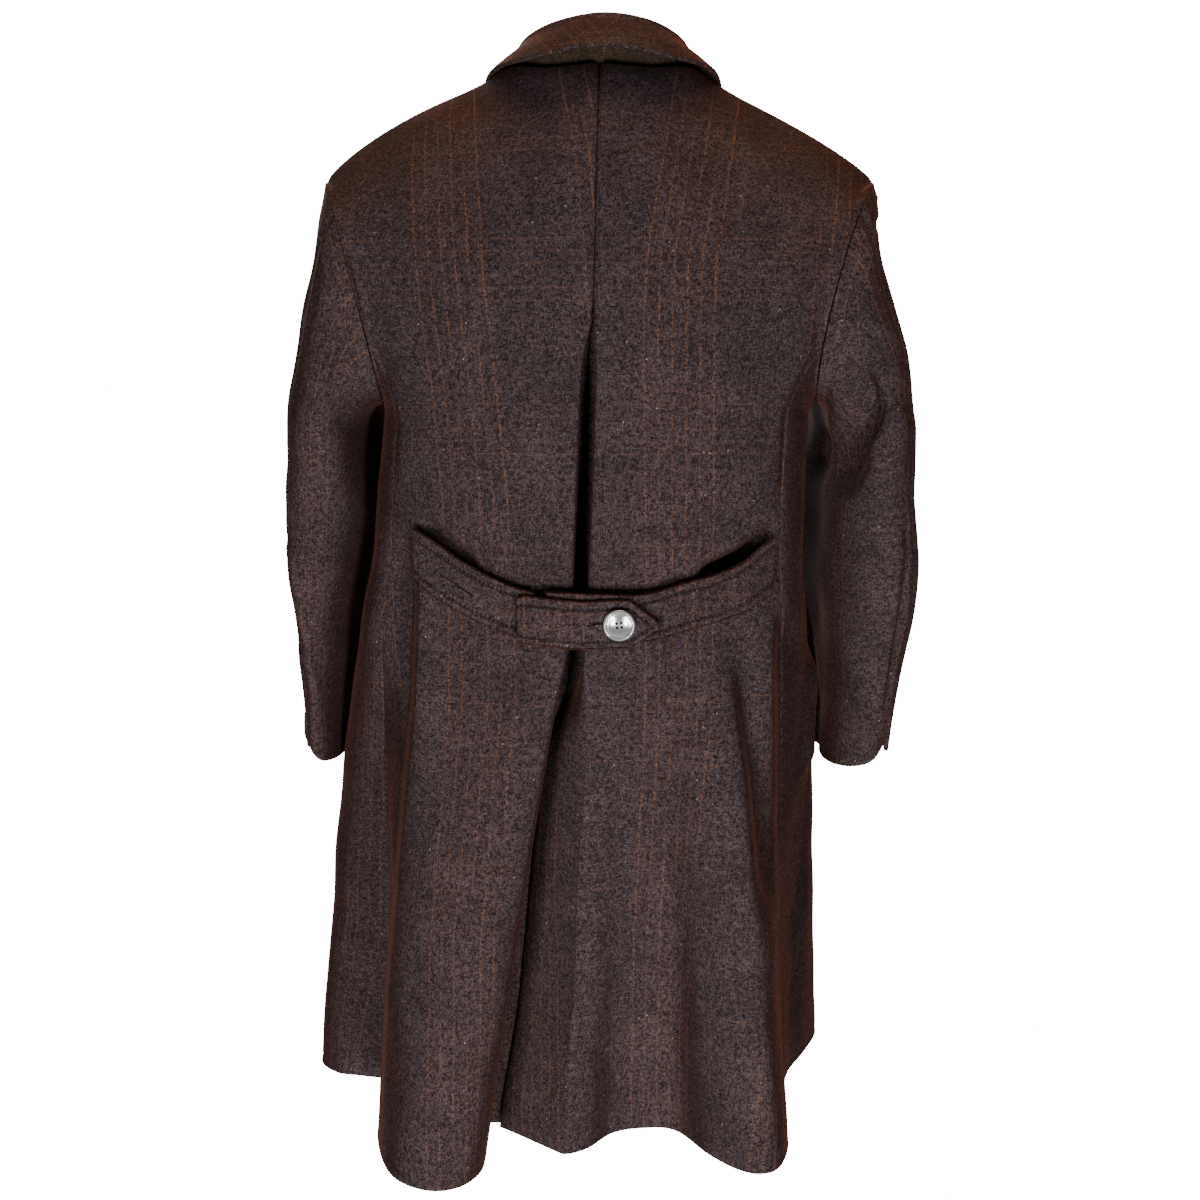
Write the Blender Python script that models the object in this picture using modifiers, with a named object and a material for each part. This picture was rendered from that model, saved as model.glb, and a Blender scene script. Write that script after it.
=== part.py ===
"""Wool overcoat with a half belt and an inverted back pleat, hollow, as it hangs on a figure.

Metres, +Z up. The origin is at the nape, at the height of the back neck seam. +X is the wearer's
right and +Y the front, so the back faces -Y.
"""

import math

import bmesh
import bpy
import numpy as np
from mathutils import Vector

# Cloth
WALL = 0.0026
SEAM_GAP = 0.0004
LAID_GAP = 0.0007
NEARLY = 1e-6

# Heights
HEM_Z = -0.975
SKIRT_Z = -0.500
CHEST_Z = -0.310
PLEAT_TOP_Z = -0.221

# Girth of the body above the skirt, a row for each level section
SECTION_COLUMNS = ("z", "left", "right", "back", "front", "squareness")
SECTIONS = (
    (-0.500, 0.226, 0.194, 0.136, 0.140, 2.5),
    (-0.440, 0.2135, 0.189, 0.132, 0.134, 2.5),
    (-0.370, 0.206, 0.190, 0.133, 0.132, 2.5),
    (-0.310, 0.199, 0.191, 0.136, 0.132, 2.5),
)

# Folds of the skirt, a row for each crest or hollow, from the centre of a panel out to its side seam.
# share: place across the panel. bearing: degrees from straight back, where the fold starts at the skirt's
# top. x, y: where it meets the hem. lift: how far the hem rises there.
FOLD_COLUMNS = ("share", "bearing", "x", "y", "lift")
BACK_LEFT_FOLDS = (
    (0.00, 0.0, -0.1035, -0.163, -0.003),
    (0.13, -11.0, -0.1210, -0.195, -0.002),
    (0.27, -23.0, -0.1455, -0.2065, -0.001),
    (0.42, -35.0, -0.1735, -0.193, 0.000),
    (0.56, -45.5, -0.1920, -0.164, 0.000),
    (0.74, -57.0, -0.2085, -0.104, 0.000),
    (1.00, -68.0, -0.2085, 0.026, 0.000),
)
BACK_RIGHT_FOLDS = (
    (0.00, 0.0, -0.0560, -0.117, 0.000),
    (0.10, 4.0, -0.0335, -0.139, 0.000),
    (0.18, 8.5, -0.0105, -0.126, 0.000),
    (0.26, 13.0, 0.0113, -0.095, 0.000),
    (0.36, 19.0, 0.0415, -0.082, 0.000),
    (0.46, 25.0, 0.0715, -0.090, 0.000),
    (0.55, 30.0, 0.0986, -0.138, 0.000),
    (0.66, 36.5, 0.1395, -0.1735, -0.001),
    (0.72, 40.5, 0.1580, -0.168, 0.000),
    (0.79, 46.0, 0.1715, -0.132, 0.000),
    (0.90, 55.0, 0.1775, -0.055, 0.000),
    (1.00, 62.0, 0.1825, 0.010, 0.000),
)
FRONT_LEFT_FOLDS = (
    (0.00, -180.0, 0.000, 0.172, 0.000),
    (0.18, -152.0, -0.090, 0.158, 0.000),
    (0.36, -128.0, -0.190, 0.178, 0.000),
    (0.54, -109.0, -0.268, 0.140, 0.000),
    (0.66, -98.0, -0.288, 0.082, -0.003),
    (0.78, -88.0, -0.268, 0.046, -0.002),
    (0.89, -78.0, -0.240, 0.034, 0.000),
    (1.00, -68.0, -0.2085, 0.026, 0.000),
)
FRONT_RIGHT_FOLDS = (
    (0.00, 180.0, 0.000, 0.172, 0.000),
    (0.20, 152.0, 0.090, 0.158, 0.000),
    (0.40, 128.0, 0.168, 0.188, 0.000),
    (0.56, 109.0, 0.216, 0.180, 0.000),
    (0.68, 97.0, 0.2295, 0.150, 0.000),
    (0.80, 85.0, 0.2127, 0.098, 0.000),
    (0.90, 74.0, 0.1920, 0.050, 0.000),
    (1.00, 62.0, 0.1825, 0.010, 0.000),
)
SPREAD_POWER = 0.85
SIDE_SPREAD_POWER = {"left": 0.71, "right": 0.50}
SIDE_SPREAD_SHARES = (0.20, 0.45, 0.80, 1.00)

# Centre back seam and pleat, a row for each height. left and right: x of the two edges. in_left and
# in_right: how deep each edge turns in. swing: how far the turned cloth drifts sideways.
PLEAT_COLUMNS = ("z", "left", "right", "in_left", "in_right", "swing_left", "swing_right")
PLEAT = (
    (-0.975, -0.1035, -0.0560, 0.080, 0.036, 0.0040, -0.0160),
    (-0.500, -0.0245, -0.0140, 0.043, 0.043, 0.0035, -0.0035),
    (-0.374, -0.0195, -0.0080, 0.042, 0.042, 0.0040, -0.0040),
    (-0.288, -0.0160, -0.0050, 0.034, 0.034, 0.0040, -0.0040),
    (PLEAT_TOP_Z - 0.021, -0.0140, -0.0034, 0.022, 0.021, 0.0030, -0.0030),
    (PLEAT_TOP_Z, -0.0058, -0.0044, 0.006, 0.006, 0.0000, 0.0000),
    (PLEAT_TOP_Z + 0.012, -0.0052, -0.0052, 0.006, 0.006, 0.0000, 0.0000),
    (-0.100, -0.0030, -0.0030, 0.006, 0.006, 0.0000, 0.0000),
    (0.010, 0.0000, 0.0000, 0.006, 0.006, 0.0000, 0.0000),
)
UNDERLAY_COLUMNS = ("z", "half_width")
UNDERLAY = ((HEM_Z + 0.002, 0.034), (-0.500, 0.024), (-0.330, 0.016), (PLEAT_TOP_Z + 0.004, 0.009))
UNDERLAY_BEHIND = 0.0035
TURN_PLACE = 0.55

# Neck, shoulder and armhole
NECK_HALF = 0.107
NECK_POINT_Y = 0.003
NECK_POINT_Z = -0.014
BACK_NECK_Y = -0.066
FRONT_NECK_Y = 0.083
FRONT_NECK_Z = -0.092
SHOULDER_HALF = 0.249
SHOULDER_DROP = 0.084
SHOULDER_CURVE = {"left": 1.25, "right": 1.10}
SHOULDER_PAD = {"left": 0.008, "right": 0.006}
PAD_PEAK = 0.325
ARMHOLE_X = 0.2245
ARMHOLE_LEAN = 0.0245
ARMHOLE_Z = -0.198
ARMHOLE_HALF_HEIGHT = 0.100
ARMHOLE_HALF_DEPTH = 0.085
ARMHOLE_SCOOP = {"left": 0.010, "right": 0.012}
SCOOP_POWER = 1.3
SCOOP_RINGS = 3
SEAM_ON_ARMHOLE = 118.0
RIM_AGREES = 0.25
BACK_FULLNESS = 2.9
FRONT_FULLNESS = 2.4
SHOULDER_ROUND = 1.25
YOKE_TAPER = 1.3

# Shares of a panel's width that end at the neck and at the shoulder tip
BACK_NECK_SHARE = 0.30
BACK_TIP_SHARE = 0.62
FRONT_NECK_SHARE = 0.20
FRONT_TIP_SHARE = 0.42
FRONT_LAP_SHARE = 0.065
FRONTWARD = 0.3

# Sleeves, a row for each ring, x outwards from the coat's middle.
# fore: how far the ring's centre lies forward. half_depth: half its size from front to back. lean: how far
# its front lies in towards the body.
SLEEVE_COLUMNS = ("outer_x", "outer_z", "inner_x", "inner_z", "fore", "half_depth", "lean")
LEFT_SLEEVE = (
    (0.2495, -0.0980, 0.2005, -0.2980, 0.000, 0.0850, 0.000),
    (0.2530, -0.1200, 0.2085, -0.3020, 0.001, 0.0880, 0.002),
    (0.2600, -0.1650, 0.2140, -0.3120, 0.004, 0.0895, 0.010),
    (0.2750, -0.2350, 0.2170, -0.3320, 0.010, 0.0890, 0.028),
    (0.2865, -0.3080, 0.2160, -0.3560, 0.016, 0.0870, 0.044),
    (0.2915, -0.3850, 0.2150, -0.4000, 0.022, 0.0840, 0.044),
    (0.2920, -0.4600, 0.2270, -0.4600, 0.030, 0.0800, 0.034),
    (0.2860, -0.5300, 0.2395, -0.5300, 0.042, 0.0760, 0.022),
    (0.2825, -0.5900, 0.2485, -0.5900, 0.052, 0.0650, 0.012),
    (0.2840, -0.6320, 0.2530, -0.6470, 0.060, 0.0580, 0.006),
)
RIGHT_SLEEVE = (
    (0.2495, -0.0980, 0.2005, -0.2980, 0.000, 0.0850, 0.000),
    (0.2520, -0.1220, 0.2085, -0.3020, 0.001, 0.0880, 0.002),
    (0.2560, -0.1650, 0.2140, -0.3120, 0.004, 0.0895, 0.010),
    (0.2785, -0.2350, 0.2165, -0.3320, 0.010, 0.0890, 0.029),
    (0.2880, -0.3080, 0.2140, -0.3560, 0.016, 0.0870, 0.046),
    (0.2955, -0.3850, 0.2110, -0.4000, 0.022, 0.0830, 0.048),
    (0.3005, -0.4600, 0.2120, -0.4600, 0.030, 0.0790, 0.044),
    (0.2940, -0.5300, 0.2165, -0.5300, 0.040, 0.0730, 0.024),
    (0.2835, -0.5900, 0.2210, -0.5900, 0.048, 0.0670, 0.010),
    (0.2800, -0.6330, 0.2200, -0.6500, 0.054, 0.0620, 0.002),
)
SLEEVES = {"left": LEFT_SLEEVE, "right": RIGHT_SLEEVE}
SLEEVE_TOE_IN = 5.0
TOE_IN_RING = 4
HIND_SEAM = 46.0
FORE_SEAM = 236.0

# Collar, a row for each station from the centre back by the neck point to the front end: the fold and the
# fall's free edge, each as x, y, z
COLLAR_COLUMNS = ("fold_x", "fold_y", "fold_z", "edge_x", "edge_y", "edge_z")
COLLAR = (
    (0.000, -0.056, 0.043, 0.000, -0.094, 0.011),
    (0.0545, -0.036, 0.0345, 0.064, -0.078, 0.003),
    (0.0780, 0.003, 0.0115, 0.1075, 0.004, -0.0075),
    (0.056, 0.052, -0.038, 0.095, 0.090, -0.073),
    (0.010, 0.078, -0.062, 0.032, 0.112, -0.118),
)
COLLAR_END = 0.12
COLLAR_OVER_LAP = 0.0045
COLLAR_BELLY = 0.002
COLLAR_LEAN = 0.003
COLLAR_FOLD_RADIUS = 0.005
COLLAR_WALL = 0.0030

# Half belt, which sags between its ends at the side seams: the middle line of each strap, as x and z
BELT_LINES = {
    "left": ((-0.165, -0.4235), (-0.155, -0.4290), (-0.119, -0.4510), (-0.074, -0.4705), (-0.050, -0.4760)),
    "right": (
        (-0.050, -0.4735), (0.000, -0.4755), (0.0425, -0.4755), (0.075, -0.4668), (0.105, -0.4590),
        (0.127, -0.4504), (0.152, -0.4340),
    ),
    "tab": ((-0.071, -0.4765), (-0.050, -0.4785), (-0.020, -0.4815), (0.0165, -0.4805), (0.051, -0.4825)),
}
BELT_HALF_WIDTH = 0.0212
BELT_WALL = 0.0042
BELT_SEWN_OFF = 0.0012
BELT_STAND_OFF = 0.0050
BELT_LEAN = 0.0040
LEFT_STRIP = (-0.162, -0.056)
RIGHT_STRIP = (0.151, -0.047)
TAB = (-0.071, 0.051)
TAB_HALF_WIDTH = 0.0216
TAB_POINT_LENGTH = 0.026
TAB_CORNER = 0.008
TAB_END_SHARE = 0.82
TAB_TIP_SHARE = 0.16

# Buttons
BUTTON_RADIUS = 0.0138
BUTTON_DEPTH = 0.0042
BELT_BUTTON_X = 0.0165
BELT_BUTTON_Z = -0.4805
FRONT_BUTTON_ZS = (-0.170, -0.310, -0.450, -0.590)
BUTTON_COLUMNS = ("radius", "height")
BUTTON_PROFILE = (
    (0.00, 0.62),
    (0.55, 0.66),
    (0.74, 0.98),
    (0.90, 1.00),
    (1.00, 0.72),
    (1.00, 0.40),
    (0.80, 0.00),
    (0.00, 0.00),
)
BUTTON_STEPS = 18
BUTTON_FOOT = 0.010

# How finely the walls are divided
SKIRT_ROWS = 9
TORSO_ROWS = 4
YOKE_ROWS = 6
SLEEVE_SIDES = 13
SLEEVE_RINGS = 14
COLLAR_STATIONS = 17
NECK_STEPS = 5
SHOULDER_STEPS = 7
BACK_ARMHOLE_STEPS = 10
FRONT_ARMHOLE_STEPS = 17
UNDERLAY_ROWS = 12
STRIP_STEPS = 13
TAB_STEPS = 17
STRAP_COLUMNS = 4


def column(table, names, name):
    """One named column of a table, as an array."""
    return np.array([row[names.index(name)] for row in table], float)


def through(stations, values, at):
    """A smooth curve through the values at rising stations, read at other places."""
    stations = np.asarray(stations, float)
    values = np.asarray(values, float)
    at = np.clip(at, stations[0], stations[-1])
    slopes = np.gradient(values, stations)
    i = np.clip(np.searchsorted(stations, at, side="right") - 1, 0, len(stations) - 2)
    span = stations[i + 1] - stations[i]
    w = (at - stations[i]) / span
    return (
        values[i] * (2 * w**3 - 3 * w**2 + 1)
        + slopes[i] * span * (w**3 - 2 * w**2 + w)
        + values[i + 1] * (3 * w**2 - 2 * w**3)
        + slopes[i + 1] * span * (w**3 - w**2)
    )


def read(table, names, name, z):
    """A named column of a table with rows by height, read at a height."""
    heights = column(table, names, "z")
    order = np.argsort(heights)
    return through(heights[order], column(table, names, name)[order], z)


def body(name, z):
    """A named size of the body's level sections at a height."""
    return read(SECTIONS, SECTION_COLUMNS, name, z)


def pleat(name, z):
    """A named size of the centre back seam and pleat at a height, straight between the rows."""
    return np.interp(z, column(PLEAT, PLEAT_COLUMNS, "z"), column(PLEAT, PLEAT_COLUMNS, name))


def ring(bearing, z):
    """Points of the body's level sections: squared ovals with their own left, right, back and front."""
    s = np.sin(np.radians(bearing))
    c = np.cos(np.radians(bearing))
    half = np.where(s > 0, body("right", z), body("left", z))
    depth = np.where(c > 0, body("back", z), body("front", z))
    power = body("squareness", z)
    reach = ((np.abs(s) / half) ** power + (np.abs(c) / depth) ** power) ** (-1 / power)
    return np.stack([reach * s, -reach * c, np.broadcast_to(z, reach.shape)], -1)


def back_depth(x, z):
    """The y of the back's outer face at a place on the torso."""
    half = np.where(x > 0, body("right", z), body("left", z))
    power = body("squareness", z)
    return -body("back", z) * (1 - (np.abs(x) / half) ** power) ** (1 / power)


def scoop(angle, side):
    """How far the armhole is cut in towards the middle of the back."""
    return ARMHOLE_SCOOP[side] * np.maximum(np.sin(np.radians(angle)), 0) ** SCOOP_POWER


def armhole(angle, side):
    """The armhole's loop on the +X side: 0 at the shoulder tip, 90 at the back, 180 under the arm."""
    a = np.radians(angle)
    return np.stack(
        [
            ARMHOLE_X + ARMHOLE_LEAN * np.cos(a) - scoop(angle, side),
            -ARMHOLE_HALF_DEPTH * np.sin(a),
            ARMHOLE_Z + ARMHOLE_HALF_HEIGHT * np.cos(a),
        ],
        -1,
    )


def armhole_rim(angle):
    """The direction, away from the loop's middle, in which sleeve and body share one edge."""
    a = np.radians(angle)
    rim = np.stack(
        [ARMHOLE_LEAN * np.cos(a), -ARMHOLE_HALF_DEPTH * np.sin(a), ARMHOLE_HALF_HEIGHT * np.cos(a)], -1
    )
    return rim / np.linalg.norm(rim, axis=-1, keepdims=True)


def shoulder(w, side):
    """The shoulder seam on the +X side, from the neck point to the tip, lifted by a pad."""
    lifted = SHOULDER_PAD[side] * w**1.5 * np.sqrt(1 - w) / PAD_PEAK
    return np.stack(
        [
            NECK_HALF + (SHOULDER_HALF - NECK_HALF) * w,
            NECK_POINT_Y * (1 - w),
            NECK_POINT_Z - SHOULDER_DROP * w ** SHOULDER_CURVE[side] + lifted,
        ],
        -1,
    )


def neck(w, middle_y, middle_z):
    """The neck seam on the +X side, from the middle of the back or front to the neck point."""
    a = w * math.pi / 2
    return np.stack(
        [
            NECK_HALF * w,
            NECK_POINT_Y + (middle_y - NECK_POINT_Y) * np.cos(a),
            NECK_POINT_Z + (middle_z - NECK_POINT_Z) * np.cos(a),
        ],
        -1,
    )


def top_edge(share, neck_share, tip_share, middle_y, middle_z, armhole_end, side):
    """A panel's top edge: neck, shoulder and armhole, by share of the panel's width."""
    on_neck = neck(np.clip(share / neck_share, 0, 1), middle_y, middle_z)
    on_shoulder = shoulder(np.clip((share - neck_share) / (tip_share - neck_share), 0, 1), side)
    on_armhole = armhole(np.clip((share - tip_share) / (1 - tip_share), 0, 1) * armhole_end, side)
    part = np.where(share <= neck_share, 0, np.where(share <= tip_share, 1, 2))[:, None]
    edge = np.where(part == 0, on_neck, np.where(part == 1, on_shoulder, on_armhole))
    return edge if side == "right" else mirrored(edge)


def panel_points(folds, share, top, fullness, centre_x, power):
    """A body panel's outer points, rows from the hem up to the neck, shoulder and armhole."""
    stations = column(folds, FOLD_COLUMNS, "share")
    bearing, hem_x, hem_y, lift = (
        through(stations, column(folds, FOLD_COLUMNS, name), share) for name in FOLD_COLUMNS[1:]
    )
    near_centre = (1 - share) ** 3
    rows = []
    for w in np.linspace(1, 0, SKIRT_ROWS, endpoint=False):
        start = ring(bearing, SKIRT_Z)
        start[:, 0] += near_centre * centre_x(SKIRT_Z)
        spread = w**power
        row = start.copy()
        row[:, 0] += (hem_x - start[:, 0]) * spread
        row[:, 1] += (hem_y - start[:, 1]) * spread
        row[:, 2] = SKIRT_Z + (HEM_Z - SKIRT_Z) * w + lift * w
        rows.append(row)
    for z in np.linspace(SKIRT_Z, CHEST_Z, TORSO_ROWS, endpoint=False):
        row = ring(bearing, z)
        row[:, 0] += near_centre * centre_x(z)
        rows.append(row)
    foot = ring(bearing, CHEST_Z)
    for w in np.linspace(0, 1, YOKE_ROWS + 1):
        row = foot + (top - foot) * np.array([w**YOKE_TAPER, w**fullness, 1 - (1 - w) ** SHOULDER_ROUND])
        row[:, 0] += near_centre * centre_x(row[:, 2])
        rows.append(row)
    return np.array(rows)


def grid_normals(points, outward):
    """Unit normals of a grid of points, turned so that the middle one agrees with a rough direction."""
    across = np.gradient(points, axis=1)
    along = np.gradient(points, axis=0)
    normals = np.cross(across, along)
    normals /= np.linalg.norm(normals, axis=-1, keepdims=True)
    middle = normals[normals.shape[0] // 2, normals.shape[1] // 2]
    return normals if np.dot(middle, outward) > 0 else -normals


def wall(name, points, normals, thickness, material):
    """A closed wall: a grid of outer points, a second grid under it, and a rim round both."""
    rows, columns = points.shape[:2]
    inner = points - normals * thickness
    vertices = np.concatenate([points.reshape(-1, 3), inner.reshape(-1, 3)])
    under = rows * columns
    corner = [[r * columns + c for c in range(columns)] for r in range(rows)]
    faces = []
    for r in range(rows - 1):
        for c in range(columns - 1):
            loop = [corner[r][c], corner[r][c + 1], corner[r + 1][c + 1], corner[r + 1][c]]
            faces.append(loop)
            faces.append([under + v for v in reversed(loop)])
    rim = corner[0] + [corner[r][-1] for r in range(1, rows)]
    rim += corner[-1][-2::-1] + [corner[r][0] for r in range(rows - 2, 0, -1)]
    for a, b in zip(rim, rim[1:] + rim[:1]):
        faces.append([b, a, under + a, under + b])
    mesh = bpy.data.meshes.new(name)
    mesh.from_pydata([tuple(v) for v in vertices], [], faces)
    shaped = bmesh.new()
    shaped.from_mesh(mesh)
    bmesh.ops.recalc_face_normals(shaped, faces=shaped.faces)
    if shaped.calc_volume(signed=True) < 0:
        bmesh.ops.reverse_faces(shaped, faces=shaped.faces)
    shaped.to_mesh(mesh)
    shaped.free()
    return add_part(name, mesh, material)


def add_part(name, mesh, material):
    part = bpy.data.objects.new(name, mesh)
    part.data.materials.append(material)
    part.data.shade_smooth()
    COAT.objects.link(part)
    return part


def finish(name, colour, roughness):
    """A plain Principled material."""
    material = bpy.data.materials.new(name)
    material.use_nodes = True
    shader = material.node_tree.nodes["Principled BSDF"]
    shader.inputs["Base Color"].default_value = (*colour, 1)
    shader.inputs["Roughness"].default_value = roughness
    return material


def mirrored(points):
    return points * np.array([-1, 1, 1])


def turned_in(points, side):
    """The columns of a back panel that turn in along the pleat, deepest first."""
    edge = points[:, 0]
    depth = pleat("in_" + side, edge[:, 2])
    swing = pleat("swing_" + side, edge[:, 2])
    step = np.stack([swing, depth, np.zeros_like(depth)], -1)
    return np.stack([edge + step, edge + step * TURN_PLACE], 1)


def back_points(side, folds):
    """The outer points of one half of the back, with its turned-in centre edge, and its columns' shares."""
    share = np.unique(np.concatenate([
        np.linspace(0, BACK_NECK_SHARE, NECK_STEPS),
        np.linspace(BACK_NECK_SHARE, BACK_TIP_SHARE, SHOULDER_STEPS),
        np.linspace(BACK_TIP_SHARE, 1, BACK_ARMHOLE_STEPS),
    ]))
    top = top_edge(share, BACK_NECK_SHARE, BACK_TIP_SHARE, BACK_NECK_Y, 0.0, SEAM_ON_ARMHOLE, side)

    def centre_x(z):
        return pleat(side, z)

    points = panel_points(folds, share, top, BACK_FULLNESS, centre_x, SPREAD_POWER)
    points[:, 0, 0] += SEAM_GAP / 2 if side == "right" else -SEAM_GAP / 2
    turned = turned_in(points, side)
    return np.concatenate([turned, points], 1), np.concatenate([np.zeros(turned.shape[1]), share])


def front_points(side, folds):
    """The outer points of one front, lapped past the middle. The left one lies over the right one."""
    share = np.unique(np.concatenate([
        np.linspace(0, FRONT_NECK_SHARE, NECK_STEPS),
        np.linspace(FRONT_NECK_SHARE, FRONT_TIP_SHARE, SHOULDER_STEPS),
        np.linspace(FRONT_TIP_SHARE, 1, FRONT_ARMHOLE_STEPS),
    ]))
    lap_share = np.array([FRONT_LAP_SHARE, FRONT_LAP_SHARE / 2])
    every = np.concatenate([lap_share, share])
    top = top_edge(
        every, FRONT_NECK_SHARE, FRONT_TIP_SHARE, FRONT_NECK_Y, FRONT_NECK_Z, SEAM_ON_ARMHOLE - 360, side)
    at_side = np.interp(every, SIDE_SPREAD_SHARES, (0, 1, 1, 0))
    power = SPREAD_POWER + (SIDE_SPREAD_POWER[side] - SPREAD_POWER) * at_side
    points = panel_points(folds, every, top, FRONT_FULLNESS, np.zeros_like, power)
    points[:, :2] = mirrored(points[:, :2])
    share = np.concatenate([np.zeros(2), share])
    if side == "left":
        raised = (WALL + LAID_GAP) * np.clip(2 - 2 * share / FRONT_NECK_SHARE, 0, 1)
        points += grid_normals(points, (-1, FRONTWARD, 0)) * raised[:, None]
    return points, share


def square_edges(normals, share, neck_share, tip_share, armhole_end, side):
    """Panels share one edge direction at the shoulder seam, and one with the sleeve round the armhole."""
    sign = 1 if side == "right" else -1
    slope = SHOULDER_DROP / (SHOULDER_HALF - NECK_HALF)
    upright = np.array([sign * slope, 0, 1]) / math.hypot(slope, 1)
    rim = armhole_rim(np.clip((share - tip_share) / (1 - tip_share), 0, 1) * armhole_end)
    rim = rim if sign > 0 else mirrored(rim)
    on_shoulder = (share >= neck_share - NEARLY) & (share <= tip_share + NEARLY)
    on_armhole = (share > tip_share + NEARLY) & ((rim * normals[-1]).sum(-1) > RIM_AGREES)
    normals[-1, on_armhole] = rim[on_armhole]
    normals[-1, on_shoulder] = upright
    return on_shoulder


def draw_in(points, amount):
    """Moves a panel's side seam column a little towards the panel."""
    step = points[:, -2] - points[:, -1]
    points[:, -1] += step * amount / np.linalg.norm(step, axis=1, keepdims=True)


def make_half(side, back_folds, front_folds, material):
    """One half of the body: its back and its front, with one edge direction along their common seams."""
    back, back_share = back_points(side, back_folds)
    front, front_share = front_points(side, front_folds)
    sign = 1 if side == "right" else -1
    back_normals = grid_normals(back, (0, -1, 0))
    front_normals = grid_normals(front, (sign, FRONTWARD, 0))
    seam = back_normals[:, -1] + front_normals[:, -1]
    seam /= np.linalg.norm(seam, axis=1, keepdims=True)
    back_normals[:, -1] = front_normals[:, -1] = seam
    on_back = square_edges(back_normals, back_share, BACK_NECK_SHARE, BACK_TIP_SHARE, SEAM_ON_ARMHOLE, side)
    on_front = square_edges(
        front_normals, front_share, FRONT_NECK_SHARE, FRONT_TIP_SHARE, SEAM_ON_ARMHOLE - 360, side)
    back[-1, on_back, 1] -= SEAM_GAP / 2
    front[-1, on_front, 1] += SEAM_GAP / 2
    draw_in(back, SEAM_GAP / 2)
    draw_in(front, SEAM_GAP / 2)
    wall("back_" + side, back, back_normals, WALL, material)
    wall("front_" + side, front, front_normals, WALL, material)
    return back, front


def make_underlay(left, right, material):
    """The strip that closes the pleat behind both turned-in edges."""
    z = np.linspace(UNDERLAY[0][0], UNDERLAY[-1][0], UNDERLAY_ROWS)
    ends = []
    for panel in (left, right):
        heights = panel[:, 0, 2]
        ends.append(np.stack([np.interp(z, heights, panel[:, 0, k]) for k in (0, 1)], -1))
    middle = (ends[0][:, 0] + ends[1][:, 0]) / 2
    depth = np.maximum(ends[0][:, 1], ends[1][:, 1]) + UNDERLAY_BEHIND
    half = read(UNDERLAY, UNDERLAY_COLUMNS, "half_width", z)
    points = np.stack([
        np.stack([middle + half * v, depth, z], -1) for v in np.linspace(-1, 1, STRAP_COLUMNS)
    ], 1)
    wall("pleat_underlay", points, grid_normals(points, (0, -1, 0)), WALL, material)


def sleeve_ring(side, angle, along):
    """Points round a sleeve: 0 outside, 90 at the back, 180 inside. along runs from armhole to cuff."""
    table = SLEEVES[side]
    stations = np.arange(len(table))
    outer_x, outer_z, inner_x, inner_z, fore, half_depth, lean = (
        through(stations, column(table, SLEEVE_COLUMNS, name), along) for name in SLEEVE_COLUMNS
    )
    a = np.radians(angle)
    toe = math.radians(SLEEVE_TOE_IN) * min(along / TOE_IN_RING, 1)
    out = np.cos(a)
    back = np.sin(a) * half_depth
    inwards = lean * np.minimum(np.sin(a), 0) ** 2 + scoop(angle, side) * max(1 - along / SCOOP_RINGS, 0) ** 2
    return np.stack([
        (outer_x + inner_x) / 2 + (outer_x - inner_x) / 2 * out + back * math.sin(toe) - inwards,
        fore - back * math.cos(toe),
        (outer_z + inner_z) / 2 + (outer_z - inner_z) / 2 * out,
    ], -1)


def sleeve_normals(side, angle, along):
    """Outward directions of a sleeve ring, from two steps to each side of it."""
    step = 0.05
    below = min(along + step, len(SLEEVES[side]) - 1)
    above = max(along - step, 0)
    round_it = sleeve_ring(side, angle + step, along) - sleeve_ring(side, angle - step, along)
    down_it = sleeve_ring(side, angle, below) - sleeve_ring(side, angle, above)
    normals = np.cross(down_it, round_it)
    return normals / np.linalg.norm(normals, axis=-1, keepdims=True)


def make_sleeve(side, material):
    """Two walls, the top sleeve outside and the under sleeve against the body."""
    along = np.linspace(0, len(SLEEVES[side]) - 1, SLEEVE_RINGS)
    spans = (("top", FORE_SEAM - 360, HIND_SEAM), ("under", HIND_SEAM, FORE_SEAM))
    for piece, first, last in spans:
        angle = np.linspace(first, last, SLEEVE_SIDES)
        points = np.array([sleeve_ring(side, angle, step) for step in along])
        normals = np.array([sleeve_normals(side, angle, step) for step in along])
        normals[0] = armhole_rim(angle)
        points[0, :, 0] += SEAM_GAP
        draw_in(points, SEAM_GAP)
        draw_in(points[:, ::-1], SEAM_GAP)
        if side == "left":
            points = mirrored(points)[:, ::-1]
            normals = mirrored(normals)[:, ::-1]
        wall("sleeve_%s_%s" % (side, piece), points, normals, WALL, material)


def neck_seam(place):
    """The neck seam as the panels have it: 0 at the centre back, 1 at the neck point, 2 at the front."""
    steps = np.linspace(0, 1, NECK_STEPS)
    back = neck(steps, BACK_NECK_Y, 0.0)
    front = neck(steps[::-1], FRONT_NECK_Y, FRONT_NECK_Z)[1:]
    stations = np.linspace(0, 2, 2 * NECK_STEPS - 1)
    line = np.concatenate([back, front])
    return np.stack([np.interp(place, stations, line[:, axis]) for axis in range(3)], -1)


def collar_line(line, place):
    """The fold or the free edge of the collar on the +X side, smooth across the centre back."""
    right = np.stack([column(COLLAR, COLLAR_COLUMNS, "%s_%s" % (line, axis)) for axis in "xyz"], -1)
    both = np.concatenate([mirrored(right[:0:-1]), right])
    stations = np.linspace(-2, 2, len(both))
    return np.stack([through(stations, both[:, axis], place) for axis in range(3)], -1)


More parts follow.
